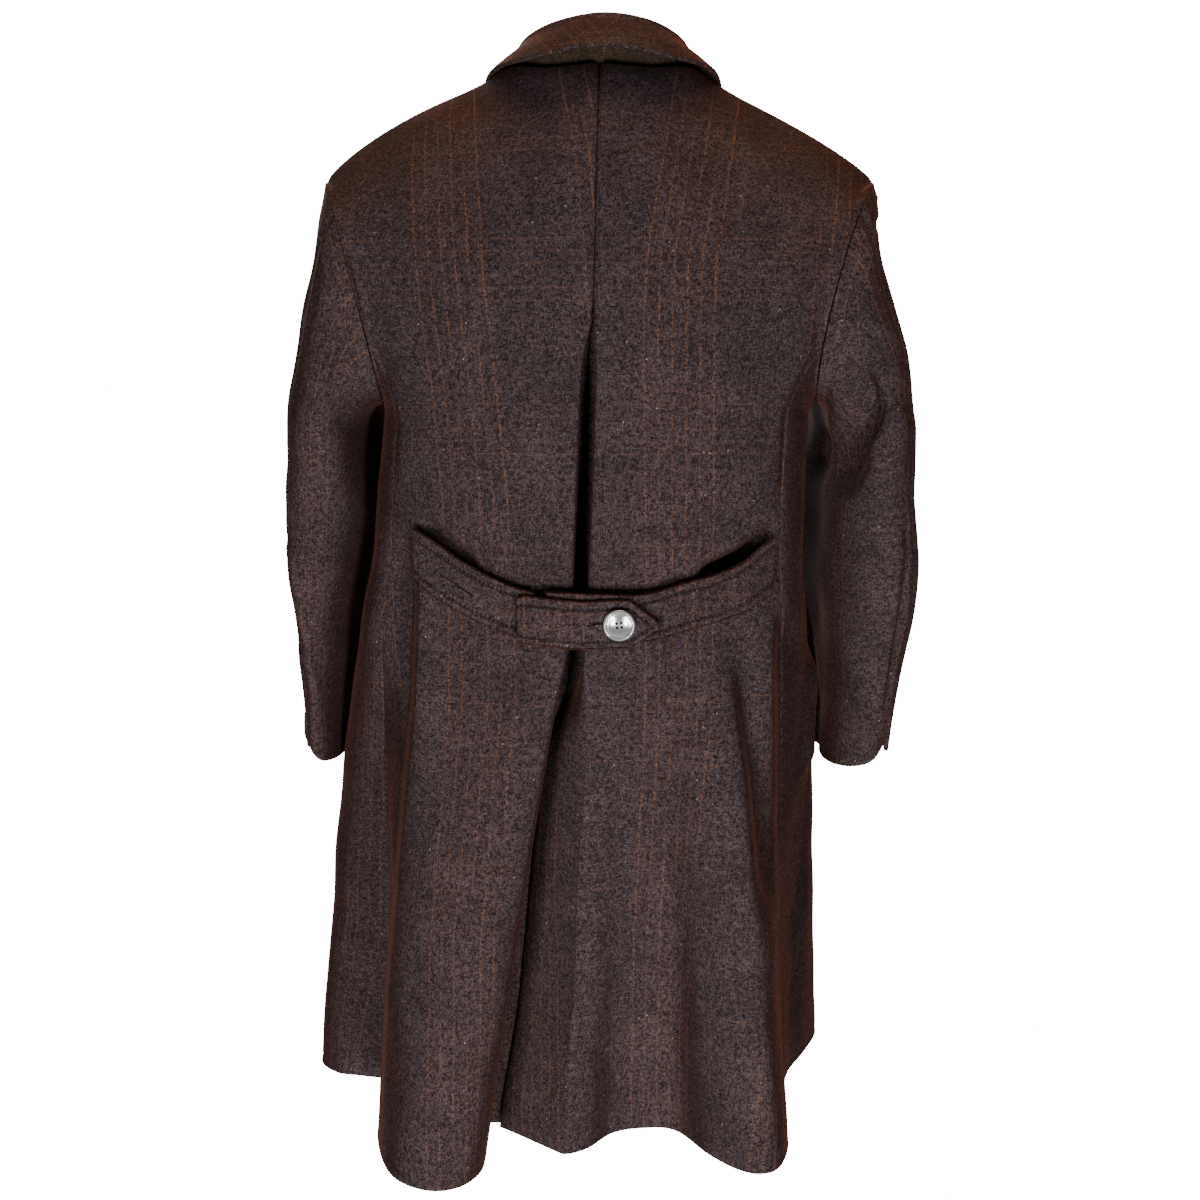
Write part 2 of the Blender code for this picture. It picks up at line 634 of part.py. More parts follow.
def make_collar(material):
    """Stand and fall in one folded wall, from the left front round the neck to the right front."""
    place = np.linspace(0, 2, COLLAR_STATIONS)
    fold = collar_line("fold", place)
    edge = collar_line("edge", place)
    seam = neck_seam(np.minimum(place, 1) + np.clip(place - 1, 0, 1) * (1 - COLLAR_END))
    seam[:, 2] += 2 * SEAM_GAP + COLLAR_OVER_LAP * np.clip(place - 1, 0, 1)
    out = edge - seam
    out[:, 2] = 0
    out /= np.linalg.norm(out, axis=1, keepdims=True)
    down = np.array([0, 0, -COLLAR_FOLD_RADIUS])
    inside = fold - out * COLLAR_FOLD_RADIUS + down
    outside = fold + out * COLLAR_FOLD_RADIUS + down
    section = [
        seam - out * COLLAR_WALL,
        (seam - out * COLLAR_WALL + inside) / 2,
        inside,
        fold,
        outside,
        (outside + edge) / 2 + out * COLLAR_BELLY,
        edge,
    ]
    right = np.stack(section, 1)
    points = np.concatenate([mirrored(right[:0:-1]), right])
    points[:, 2:, 0] += COLLAR_LEAN
    normals = grid_normals(points, (0, -0.5, 0.5))
    wall("collar", points, normals, COLLAR_WALL, material)


def belt_points(line, x, half_width, stand_off):
    """Outer points of a strap along its line, and the directions out of it."""
    stations, heights = np.array(BELT_LINES[line]).T
    step = 0.001
    rise = (through(stations, heights, x + step) - through(stations, heights, x - step)) / (2 * step)
    upright = half_width * np.sqrt(1 + rise**2)
    columns = []
    outs = []
    for v in np.linspace(-1, 1, STRAP_COLUMNS):
        z = through(stations, heights, x) + upright * v
        y = back_depth(x, z)
        slope = (back_depth(x + step, z) - back_depth(x - step, z)) / (2 * step)
        out = np.stack([slope, -np.ones_like(x), np.zeros_like(x)], -1)
        out /= np.linalg.norm(out, axis=1, keepdims=True)
        off = stand_off + BELT_WALL + BELT_LEAN * (v + 1) / 2
        columns.append(np.stack([x, y, z], -1) + out * off[:, None])
        outs.append(out)
    return np.stack(columns, 1), np.stack(outs, 1)


def make_strip(side, ends, material):
    x = np.linspace(*ends, STRIP_STEPS)
    stand_off = BELT_SEWN_OFF + BELT_STAND_OFF * np.sqrt(np.linspace(0, 1, STRIP_STEPS))
    points, outs = belt_points(side, x, np.full_like(x, BELT_HALF_WIDTH), stand_off)
    wall("belt_" + side, points, outs, BELT_WALL, material)


def make_tab(material):
    """The pointed tab that lies over both strips."""
    x = np.linspace(*TAB, TAB_STEPS)
    corner = np.clip((x - TAB[0]) / TAB_CORNER, 0, 1)
    point = np.clip((TAB[1] - x) / TAB_POINT_LENGTH, 0, 1)
    rounded = TAB_END_SHARE + (1 - TAB_END_SHARE) * np.sqrt(corner)
    pointed = TAB_TIP_SHARE + (1 - TAB_TIP_SHARE) * point
    half_width = TAB_HALF_WIDTH * np.minimum(rounded, pointed)
    stand_off = np.full_like(x, BELT_SEWN_OFF + BELT_STAND_OFF + BELT_WALL + LAID_GAP)
    points, outs = belt_points("tab", x, half_width, stand_off)
    wall("belt_tab", points, outs, BELT_WALL, material)
    return points


def make_button(name, place, facing, material):
    """A turned disc with a raised rim and a dished middle."""
    radii = column(BUTTON_PROFILE, BUTTON_COLUMNS, "radius") * BUTTON_RADIUS
    heights = column(BUTTON_PROFILE, BUTTON_COLUMNS, "height") * BUTTON_DEPTH
    vertices = [(r, 0, h) for r, h in zip(radii, heights)]
    mesh = bpy.data.meshes.new(name)
    mesh.from_pydata(vertices, [(i, i + 1) for i in range(len(vertices) - 1)], [])
    button = add_part(name, mesh, material)
    turning = button.modifiers.new("turning", "SCREW")
    turning.steps = BUTTON_STEPS
    turning.render_steps = BUTTON_STEPS
    turning.use_merge_vertices = True
    turning.merge_threshold = 0.0001
    button.rotation_mode = "QUATERNION"
    button.rotation_quaternion = Vector(facing).to_track_quat("Z", "Y")
    button.location = Vector(place) + Vector(facing) * LAID_GAP


for left_over in list(bpy.data.objects):
    bpy.data.objects.remove(left_over)

COAT = bpy.data.collections.new("overcoat")
bpy.context.scene.collection.children.link(COAT)

wool = finish("wool", (0.045, 0.030, 0.030), 0.95)
pearl = finish("pearl", (0.60, 0.60, 0.58), 0.25)

back_left, front_left = make_half("left", BACK_LEFT_FOLDS, FRONT_LEFT_FOLDS, wool)
back_right = make_half("right", BACK_RIGHT_FOLDS, FRONT_RIGHT_FOLDS, wool)[0]
make_underlay(back_left, back_right, wool)
make_sleeve("left", wool)
make_sleeve("right", wool)
make_collar(wool)
make_strip("left", LEFT_STRIP, wool)
make_strip("right", RIGHT_STRIP, wool)
tab = make_tab(wool)

tab_x = tab[:, :, 0].mean(axis=1)
tab_y = float(np.interp(BELT_BUTTON_X, tab_x, tab[:, :, 1].min(axis=1)))
make_button("belt_button", (BELT_BUTTON_X, tab_y, BELT_BUTTON_Z), (0, -1, 0), pearl)
middle_z = front_left[:, 2, 2]
middle_y = front_left[:, 2, 1]
for number, height in enumerate(FRONT_BUTTON_ZS, 1):
    above = float(np.interp(height + BUTTON_FOOT, middle_z, middle_y))
    below = float(np.interp(height - BUTTON_FOOT, middle_z, middle_y))
    facing = Vector((0, 2 * BUTTON_FOOT, below - above)).normalized()
    place = (0, float(np.interp(height, middle_z, middle_y)), height)
    make_button("front_button_%d" % number, place, facing, pearl)
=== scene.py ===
# %% [markdown]
# # A wool overcoat with a half belt, seen from behind
# The coat is hollow and filled out as if worn. It has a turn-down collar, two-piece sleeves, a half belt with
# a pointed buttoned tab, and an inverted pleat that opens from between the shoulder blades to the hem.
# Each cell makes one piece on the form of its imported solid, in metres, +Z up, with the back towards -Y.

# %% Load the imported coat
import math

import bpy
import numpy as np
from mathutils import Matrix, Vector


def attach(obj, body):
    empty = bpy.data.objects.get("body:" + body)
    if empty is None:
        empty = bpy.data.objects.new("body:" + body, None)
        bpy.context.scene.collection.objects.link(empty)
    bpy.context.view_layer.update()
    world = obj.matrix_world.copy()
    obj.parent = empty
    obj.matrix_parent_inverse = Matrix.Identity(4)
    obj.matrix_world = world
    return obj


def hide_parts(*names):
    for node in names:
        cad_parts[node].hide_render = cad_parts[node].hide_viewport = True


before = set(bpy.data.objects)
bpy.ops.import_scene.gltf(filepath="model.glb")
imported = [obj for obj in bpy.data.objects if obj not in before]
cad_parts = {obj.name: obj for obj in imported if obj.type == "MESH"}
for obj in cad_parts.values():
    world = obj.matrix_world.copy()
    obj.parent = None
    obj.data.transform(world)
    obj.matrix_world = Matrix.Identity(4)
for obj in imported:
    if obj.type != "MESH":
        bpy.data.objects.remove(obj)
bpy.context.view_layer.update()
print("solids:", ", ".join(sorted(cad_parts)))

# %% [markdown]
# ## Camera
# The photograph was taken from behind at chest height, tilted down a little, from under two metres away.

# %% Camera
PHOTO_PIXELS = 1200
FOCAL_PIXELS = 1822
SENSOR_WIDTH = 36.0
CAMERA_PLACE = (0.0, -1.70, -0.207)
CAMERA_TILT = 9.23


def add_object(name, data):
    made = bpy.data.objects.new(name, data)
    bpy.context.scene.collection.objects.link(made)
    return made


lens = bpy.data.cameras.new("camera")
lens.sensor_width = SENSOR_WIDTH
lens.lens = FOCAL_PIXELS * SENSOR_WIDTH / PHOTO_PIXELS
camera = add_object("camera", lens)
camera.location = CAMERA_PLACE
camera.rotation_euler = (math.radians(90 - CAMERA_TILT), 0, 0)
bpy.context.scene.camera = camera
print("lens %.1f mm" % lens.lens)

# %% [markdown]
# ## Shader nodes
# A few small helpers keep the node trees short. The main one adds a node and wires its inputs, and the others
# use it for sums, ranges, noises and mixed colours.


# %% Node helpers
def set_inputs(tree, node, inputs):
    """Gives each named input of a node a socket to be wired to, or a value."""
    for key, value in inputs.items():
        if isinstance(value, bpy.types.NodeSocket):
            tree.links.new(value, node.inputs[key])
        else:
            node.inputs[key].default_value = value


def add_node(tree, kind, inputs=None, **settings):
    made = tree.nodes.new(kind)
    for name, value in settings.items():
        setattr(made, name, value)
    set_inputs(tree, made, inputs or {})
    return made


def sums(tree, operation, a, b=0.0):
    return add_node(tree, "ShaderNodeMath", {0: a, 1: b}, operation=operation).outputs[0]


def ramped(tree, value, low, high, to_low=0.0, to_high=1.0):
    """A value taken smoothly from one range to another."""
    made = add_node(
        tree, "ShaderNodeMapRange", {0: value, 1: low, 2: high, 3: to_low, 4: to_high},
        interpolation_type="SMOOTHSTEP")
    return made.outputs[0]


def noise(tree, vector, scale, detail=2.0, roughness=0.5):
    made = add_node(
        tree, "ShaderNodeTexNoise",
        {"Vector": vector, "Scale": scale, "Detail": detail, "Roughness": roughness})
    return made.outputs["Fac"]


def stretched(tree, vector, scales):
    return add_node(tree, "ShaderNodeVectorMath", {0: vector, 1: scales}, operation="MULTIPLY").outputs[0]


def mixed(tree, amount, a, b, blend="MIX"):
    """One colour over another. The colour sockets of a mix node come after those for values and vectors."""
    made = add_node(tree, "ShaderNodeMix", {0: amount, 6: a, 7: b}, data_type="RGBA", blend_type=blend)
    return made.outputs[2]


def shader_group(name, inputs, outputs):
    """An empty node group with named sockets, and its two end nodes."""
    tree = bpy.data.node_groups.new(name, "ShaderNodeTree")
    for label, kind in inputs:
        tree.interface.new_socket(label, in_out="INPUT", socket_type=kind)
    for label, kind in outputs:
        tree.interface.new_socket(label, in_out="OUTPUT", socket_type=kind)
    return tree, tree.nodes.new("NodeGroupInput"), tree.nodes.new("NodeGroupOutput")


def new_material(name):
    """A material, its node tree and its shader."""
    material = bpy.data.materials.new(name)
    material.use_nodes = True
    return material, material.node_tree, material.node_tree.nodes["Principled BSDF"]


# %% [markdown]
# ## Heather
# The wool is spun from fibres dyed in several browns and greys, then milled until the weave almost closes.
# Close up it is a speckle of dark and light fibres with a few pale flecks, so the colour is built from
# noises of a fibre's size, some of them drawn out along the two thread directions.

# %% Heather
SPECKLE_SCALE, FINE_SCALE, TUFT_SCALE, MOTTLE_SCALE = 620.0, 1700.0, 270.0, 26.0
UPRIGHT_SCALES = (900.0, 900.0, 190.0)
LEVEL_SCALES = (190.0, 190.0, 900.0)
SPECKLE_SHARE, FINE_SHARE, THREAD_SHARE, TUFT_SHARE = 0.38, 0.20, 0.25, 0.17
DARK_GRAIN, LIGHT_GRAIN = 0.43, 0.64
MOTTLE_RANGE = (0.84, 1.16)
# Flecks, small ones and then sparse ones: scale, chance channel, edge, share left out, strength, colour
FLECKS = (
    (260.0, 0, (0.24, 0.10), 0.84, 0.50, (0.22, 0.18, 0.175, 1)),
    (75.0, 1, (0.075, 0.035), 0.45, 0.75, (0.36, 0.31, 0.29, 1)),
)

heather, start, end = shader_group(
    "heather",
    [("Place", "NodeSocketVector"), ("Dark", "NodeSocketColor"), ("Light", "NodeSocketColor")],
    [("Color", "NodeSocketColor"), ("Height", "NodeSocketFloat")])
place = start.outputs["Place"]
speckle = noise(heather, place, SPECKLE_SCALE, 3.0, 0.7)
fine = noise(heather, place, FINE_SCALE)
upright = noise(heather, stretched(heather, place, UPRIGHT_SCALES), 1.0, 1.0)
level = noise(heather, stretched(heather, place, LEVEL_SCALES), 1.0, 1.0)
threads = sums(heather, "MAXIMUM", upright, level)
tufts = noise(heather, place, TUFT_SCALE, 2.0, 0.6)
grain = sums(heather, "MULTIPLY", speckle, SPECKLE_SHARE)
for part, share in ((fine, FINE_SHARE), (threads, THREAD_SHARE), (tufts, TUFT_SHARE)):
    grain = sums(heather, "ADD", grain, sums(heather, "MULTIPLY", part, share))
lightness = ramped(heather, grain, DARK_GRAIN, LIGHT_GRAIN)
mottle = ramped(heather, noise(heather, place, MOTTLE_SCALE, 4.0, 0.6), 0.3, 0.7, *MOTTLE_RANGE)
cloth_colour = mixed(heather, lightness, start.outputs["Dark"], start.outputs["Light"])
shade = add_node(heather, "ShaderNodeCombineColor", {0: mottle, 1: mottle, 2: mottle})
cloth_colour = mixed(heather, 1.0, cloth_colour, shade.outputs[0], "MULTIPLY")
for scale, channel, fleck_edge, left_out, strength, fleck_colour in FLECKS:
    cells = add_node(heather, "ShaderNodeTexVoronoi", {"Vector": place, "Scale": scale})
    chance = add_node(heather, "ShaderNodeSeparateColor", {0: cells.outputs["Color"]}).outputs[channel]
    fleck = sums(heather, "MULTIPLY", ramped(heather, cells.outputs["Distance"], *fleck_edge),
                 sums(heather, "GREATER_THAN", chance, left_out))
    cloth_colour = mixed(heather, sums(heather, "MULTIPLY", fleck, strength), cloth_colour, fleck_colour)
set_inputs(heather, end, {"Color": cloth_colour, "Height": grain})
print("heather:", len(heather.nodes), "nodes")

# %% [markdown]
# ## Check
# Rust threads run through the cloth in groups of six, 12 mm apart, and a group comes every 149 mm. The
# threads are thin and half covered by the milling, so each shows as a broken line. The outer two of a group
# show best, and the groups across the cloth are fainter than those along it. The lines are laid out on the
# cloth's own map in metres, so they bend with the folds and stop at the seams.

# %% Check
GROUP_PERIOD = 0.149
LINE_SPACING = 0.012
LAST_LINE = 5
LINE_EDGE = (0.0015, 0.0004)
WANDER_SCALE, WANDER = 22.0, 0.0036
INNER_STRENGTH = 0.75
DASH_SCALES, DASH_EDGE = (520.0, 330.0, 0.0), (0.43, 0.64)
WEAR_SCALES, WEAR_EDGE = (70.0, 14.0, 0.0), (0.32, 0.62)
LEAST_LEFT = 0.35
CROSSWISE_SHIFT = 0.040
CROSSWISE_STRENGTH = 0.46

stripes, start, end = shader_group(
    "stripes",
    [("Across", "NodeSocketFloat"), ("Along", "NodeSocketFloat")],
    [("Lines", "NodeSocketFloat"), ("Band", "NodeSocketFloat")])
across, along = start.outputs["Across"], start.outputs["Along"]
spot = add_node(stripes, "ShaderNodeCombineXYZ", {0: across, 1: along}).outputs[0]
swing = sums(stripes, "SUBTRACT", noise(stripes, spot, WANDER_SCALE, 3.0), 0.5)
wandered = sums(stripes, "ADD", across, sums(stripes, "MULTIPLY", swing, WANDER))
inside = add_node(
    stripes, "ShaderNodeMath", {0: wandered, 1: GROUP_PERIOD - LINE_SPACING / 2, 2: -LINE_SPACING / 2},
    operation="WRAP").outputs[0]
number = sums(stripes, "ROUND", sums(stripes, "DIVIDE", inside, LINE_SPACING))
line_place = sums(stripes, "MULTIPLY", number, LINE_SPACING)
off = sums(stripes, "ABSOLUTE", sums(stripes, "SUBTRACT", inside, line_place))
line = ramped(stripes, off, *LINE_EDGE)
within = sums(stripes, "LESS_THAN", number, LAST_LINE + 0.5)
from_middle = sums(stripes, "ABSOLUTE", sums(stripes, "SUBTRACT", number, LAST_LINE / 2))
strength = ramped(stripes, from_middle, 1.0, 2.4, INNER_STRENGTH, 1.0)
dashes = ramped(stripes, noise(stripes, stretched(stripes, spot, DASH_SCALES), 1.0, 2.0), *DASH_EDGE)
wear = noise(stripes, stretched(stripes, spot, WEAR_SCALES), 1.0, 3.0)
left_over = ramped(stripes, wear, *WEAR_EDGE, LEAST_LEFT, 1.0)
for factor in (within, strength, dashes, left_over):
    line = sums(stripes, "MULTIPLY", line, factor)
set_inputs(stripes, end, {"Lines": line, "Band": within})

check, start, end = shader_group(
    "check",
    [("Map", "NodeSocketVector")],
    [("Lines", "NodeSocketFloat"), ("Band", "NodeSocketFloat")])
over, up, _ = add_node(check, "ShaderNodeSeparateXYZ", {0: start.outputs["Map"]}).outputs
lowered = sums(check, "ADD", up, CROSSWISE_SHIFT)
lengthwise, crosswise = (
    add_node(check, "ShaderNodeGroup", {"Across": a, "Along": b}, node_tree=stripes)
    for a, b in ((over, up), (lowered, over))
)
faint = sums(check, "MULTIPLY", crosswise.outputs["Lines"], CROSSWISE_STRENGTH)
lines = sums(check, "MAXIMUM", lengthwise.outputs["Lines"], faint)
set_inputs(check, end, {"Lines": lines, "Band": lengthwise.outputs["Band"]})
print("check:", len(stripes.nodes) + len(check.nodes), "nodes")

# %% [markdown]
# ## Cloth materials
# The cloth's colour is darkened where it is seen at a slant, as painted shade on surfaces that turn away, and
# brightened golden brown at the very edge, as a painted rim highlight. Both are tints of the colour by the
# slant of the view, with a trace of sheen. The same grain gives the bump.

# %% Cloth materials
RUST = (0.200, 0.090, 0.048, 1)
# Painted light by the slant of the view: first painted shade where the cloth is seen at a slant, then a golden
# painted rim highlight at the very edge.
PAINTED_SLANT_SHADE_AND_RIM_LIGHT = (((0.74, 0.58, 0.58), 0.34, 0.60), ((2.60, 1.95, 1.50), 0.66, 0.90))
FRESH_FROM_Z, FRESH_TO_Z = -0.36, -0.17
FRESH = 1.32
BAND_TINT = (1.16, 0.92, 0.86, 1)
BAND_STRENGTH = 0.22
SHEEN_TINT = (0.62, 0.26, 0.11, 1)
NAP = {"Strength": 0.55, "Distance": 0.0011}


def cloth_material(name, dark, light, checked, sheen=0.05):
    material, tree, shader = new_material(name)
    coords = add_node(tree, "ShaderNodeTexCoord").outputs["Object"]
    fibres = add_node(
        tree, "ShaderNodeGroup", {"Place": coords, "Dark": (*dark, 1), "Light": (*light, 1)}, node_tree=heather)
    colour = fibres.outputs["Color"]
    if checked:
        chart = add_node(tree, "ShaderNodeUVMap", uv_map="cloth")
        laid_on = add_node(tree, "ShaderNodeGroup", {"Map": chart.outputs[0]}, node_tree=check)
        warm = mixed(tree, 1.0, colour, BAND_TINT, "MULTIPLY")
        colour = mixed(tree, sums(tree, "MULTIPLY", laid_on.outputs["Band"], BAND_STRENGTH), colour, warm)
        height = add_node(tree, "ShaderNodeSeparateXYZ", {0: coords}).outputs[2]
        fresh = ramped(tree, height, FRESH_FROM_Z, FRESH_TO_Z, checked, FRESH * checked)
        colour = mixed(tree, sums(tree, "MULTIPLY", laid_on.outputs["Lines"], fresh), colour, RUST)
    # Painted shade on slanted cloth, then a painted rim highlight at the very edge.
    slant = add_node(tree, "ShaderNodeLayerWeight", {"Blend": 0.5})
    for painted_tint, low, high in PAINTED_SLANT_SHADE_AND_RIM_LIGHT:
        painted_light_colour = mixed(tree, 1.0, colour, (*painted_tint, 1), "MULTIPLY")
        colour = mixed(tree, ramped(tree, slant.outputs["Facing"], low, high), colour, painted_light_colour)
    bump = add_node(tree, "ShaderNodeBump", {**NAP, "Height": fibres.outputs["Height"]})
    set_inputs(tree, shader, {
        "Base Color": colour, "Normal": bump.outputs[0], "Roughness": 0.9, "Specular IOR Level": 0.15,
        "Sheen Weight": sheen, "Sheen Roughness": 0.42, "Sheen Tint": SHEEN_TINT,
    })
    return material


WOOL = cloth_material("wool", (0.013, 0.0070, 0.0078), (0.112, 0.077, 0.081), checked=0.85)
FELT = cloth_material("collar_felt", (0.020, 0.013, 0.008), (0.085, 0.058, 0.036), checked=0.0)
# Near-black thread: a dark thread, made darker so that it also stands in for the shade in the stitch grooves,
# along the centre seam and in the buttonhole slits, which is painted shade.
DARK_THREAD_AND_PAINTED_SHADE = cloth_material("thread", (0.006, 0.004, 0.004), (0.022, 0.015, 0.015), checked=0.0, sheen=0.0)
print("cloth materials:", WOOL.name, FELT.name, DARK_THREAD_AND_PAINTED_SHADE.name)

# %% [markdown]
# ## Form of the coat
# The tables below are the sizes that the solids were built from: level sections of the body, folds of the
# skirt, edges of the pleat, rings of the sleeves and stations of the collar. The cloth is laid on the same
# form, only with many more points, so that folds and seams can be soft. Two values are the cloth's own: the
# right armhole is cut in 19 mm here and 12 mm in the solid, and the belt leans out 1.5 mm here and 4 mm there.

# %% Sizes of the body and the skirt
WALL = 0.0026
HEM_Z = -0.975
SKIRT_Z = -0.500
CHEST_Z = -0.310
PLEAT_TOP_Z = -0.221
SPREAD_POWER = 0.85
SIDE_SPREAD_POWER = {"left": 0.71, "right": 0.50}
SIDE_SPREAD_SHARES = (0.20, 0.45, 0.80, 1.00)

SECTION_COLUMNS = ("z", "left", "right", "back", "front", "squareness")
SECTIONS = (
    (-0.500, 0.226, 0.194, 0.136, 0.140, 2.5),
    (-0.440, 0.2135, 0.189, 0.132, 0.134, 2.5),
    (-0.370, 0.206, 0.190, 0.133, 0.132, 2.5),
    (-0.310, 0.199, 0.191, 0.136, 0.132, 2.5),
)
FOLD_COLUMNS = ("share", "bearing", "x", "y", "lift")
BACK_LEFT_FOLDS = (
    (0.00, 0.0, -0.1035, -0.163, -0.003),
    (0.13, -11.0, -0.1210, -0.195, -0.002),
    (0.27, -23.0, -0.1455, -0.2065, -0.001),
    (0.42, -35.0, -0.1735, -0.193, 0.000),
    (0.56, -45.5, -0.1920, -0.164, 0.000),
    (0.74, -57.0, -0.2085, -0.104, 0.000),
    (1.00, -68.0, -0.2085, 0.026, 0.000),
)
BACK_RIGHT_FOLDS = (
    (0.00, 0.0, -0.0560, -0.117, 0.000),
    (0.10, 4.0, -0.0335, -0.139, 0.000),
    (0.18, 8.5, -0.0105, -0.126, 0.000),
    (0.26, 13.0, 0.0113, -0.095, 0.000),
    (0.36, 19.0, 0.0415, -0.082, 0.000),
    (0.46, 25.0, 0.0715, -0.090, 0.000),
    (0.55, 30.0, 0.0986, -0.138, 0.000),
    (0.66, 36.5, 0.1395, -0.1735, -0.001),
    (0.72, 40.5, 0.1580, -0.168, 0.000),
    (0.79, 46.0, 0.1715, -0.132, 0.000),
    (0.90, 55.0, 0.1775, -0.055, 0.000),
    (1.00, 62.0, 0.1825, 0.010, 0.000),
)
FRONT_LEFT_FOLDS = (
    (0.00, -180.0, 0.000, 0.172, 0.000),
    (0.18, -152.0, -0.090, 0.158, 0.000),
    (0.36, -128.0, -0.190, 0.178, 0.000),
    (0.54, -109.0, -0.268, 0.140, 0.000),
    (0.66, -98.0, -0.288, 0.082, -0.003),
    (0.78, -88.0, -0.268, 0.046, -0.002),
    (0.89, -78.0, -0.240, 0.034, 0.000),
    (1.00, -68.0, -0.2085, 0.026, 0.000),
)
FRONT_RIGHT_FOLDS = (
    (0.00, 180.0, 0.000, 0.172, 0.000),
    (0.20, 152.0, 0.090, 0.158, 0.000),
    (0.40, 128.0, 0.168, 0.188, 0.000),
    (0.56, 109.0, 0.216, 0.180, 0.000),
    (0.68, 97.0, 0.2295, 0.150, 0.000),
    (0.80, 85.0, 0.2127, 0.098, 0.000),
    (0.90, 74.0, 0.1920, 0.050, 0.000),
    (1.00, 62.0, 0.1825, 0.010, 0.000),
)
PLEAT_COLUMNS = ("z", "left", "right", "in_left", "in_right", "swing_left", "swing_right")
PLEAT = (
    (-0.975, -0.1035, -0.0560, 0.080, 0.036, 0.0040, -0.0160),
    (-0.500, -0.0245, -0.0140, 0.043, 0.043, 0.0035, -0.0035),
    (-0.374, -0.0195, -0.0080, 0.042, 0.042, 0.0040, -0.0040),
    (-0.288, -0.0160, -0.0050, 0.034, 0.034, 0.0040, -0.0040),
    (PLEAT_TOP_Z - 0.021, -0.0140, -0.0034, 0.022, 0.021, 0.0030, -0.0030),
    (PLEAT_TOP_Z, -0.0058, -0.0044, 0.006, 0.006, 0.0000, 0.0000),
    (PLEAT_TOP_Z + 0.012, -0.0052, -0.0052, 0.006, 0.006, 0.0000, 0.0000),
    (-0.100, -0.0030, -0.0030, 0.006, 0.006, 0.0000, 0.0000),
    (0.010, 0.0000, 0.0000, 0.006, 0.006, 0.0000, 0.0000),
)
UNDERLAY_COLUMNS = ("z", "half_width")
UNDERLAY = ((HEM_Z + 0.002, 0.034), (-0.500, 0.024), (-0.330, 0.016), (PLEAT_TOP_Z + 0.004, 0.009))
UNDERLAY_BEHIND = 0.0035
print("skirt from %.3f to %.3f m" % (HEM_Z, SKIRT_Z))

# %% Sizes of the neck, shoulders and armholes
NECK_HALF = 0.107
NECK_POINT_Y = 0.003
NECK_POINT_Z = -0.014
BACK_NECK_Y = -0.066
FRONT_NECK_Y = 0.083
FRONT_NECK_Z = -0.092
SHOULDER_HALF = 0.249
SHOULDER_DROP = 0.084
SHOULDER_CURVE = {"left": 1.25, "right": 1.10}
SHOULDER_PAD = {"left": 0.008, "right": 0.006}
PAD_PEAK = 0.325
ARMHOLE_X = 0.2245
ARMHOLE_LEAN = 0.0245
ARMHOLE_Z = -0.198
ARMHOLE_HALF_HEIGHT = 0.100
ARMHOLE_HALF_DEPTH = 0.085
ARMHOLE_SCOOP = {"left": 0.010, "right": 0.019}
SCOOP_POWER = 1.3
SCOOP_RINGS = 3
SEAM_ON_ARMHOLE = 118.0
BACK_FULLNESS = 2.9
FRONT_FULLNESS = 2.4
SHOULDER_ROUND = 1.25
YOKE_TAPER = 1.3
BACK_NECK_SHARE = 0.30
BACK_TIP_SHARE = 0.62
FRONT_NECK_SHARE = 0.20
FRONT_TIP_SHARE = 0.42
FRONT_LAP_SHARE = 0.065
LAID_GAP = 0.0007
print("shoulders %.3f m across" % (2 * SHOULDER_HALF))

# %% Sizes of the sleeves
SLEEVE_COLUMNS = ("outer_x", "outer_z", "inner_x", "inner_z", "fore", "half_depth", "lean")
LEFT_SLEEVE = (
    (0.2495, -0.0980, 0.2005, -0.2980, 0.000, 0.0850, 0.000),
    (0.2530, -0.1200, 0.2085, -0.3020, 0.001, 0.0880, 0.002),
    (0.2600, -0.1650, 0.2140, -0.3120, 0.004, 0.0895, 0.010),
    (0.2750, -0.2350, 0.2170, -0.3320, 0.010, 0.0890, 0.028),
    (0.2865, -0.3080, 0.2160, -0.3560, 0.016, 0.0870, 0.044),
    (0.2915, -0.3850, 0.2150, -0.4000, 0.022, 0.0840, 0.044),
    (0.2920, -0.4600, 0.2270, -0.4600, 0.030, 0.0800, 0.034),
    (0.2860, -0.5300, 0.2395, -0.5300, 0.042, 0.0760, 0.022),
    (0.2825, -0.5900, 0.2485, -0.5900, 0.052, 0.0650, 0.012),
    (0.2840, -0.6320, 0.2530, -0.6470, 0.060, 0.0580, 0.006),
)
RIGHT_SLEEVE = (
    (0.2495, -0.0980, 0.2005, -0.2980, 0.000, 0.0850, 0.000),
    (0.2520, -0.1220, 0.2085, -0.3020, 0.001, 0.0880, 0.002),
    (0.2560, -0.1650, 0.2140, -0.3120, 0.004, 0.0895, 0.010),
    (0.2785, -0.2350, 0.2165, -0.3320, 0.010, 0.0890, 0.029),
    (0.2880, -0.3080, 0.2140, -0.3560, 0.016, 0.0870, 0.046),
    (0.2955, -0.3850, 0.2110, -0.4000, 0.022, 0.0830, 0.048),
    (0.3005, -0.4600, 0.2120, -0.4600, 0.030, 0.0790, 0.044),
    (0.2940, -0.5300, 0.2165, -0.5300, 0.040, 0.0730, 0.024),
    (0.2835, -0.5900, 0.2210, -0.5900, 0.048, 0.0670, 0.010),
    (0.2800, -0.6330, 0.2200, -0.6500, 0.054, 0.0620, 0.002),
)
SLEEVES = {"left": LEFT_SLEEVE, "right": RIGHT_SLEEVE}
SLEEVE_TOE_IN = 5.0
TOE_IN_RING = 4
HIND_SEAM = 46.0
FORE_SEAM = 236.0
print("sleeves of %d rings" % len(LEFT_SLEEVE))

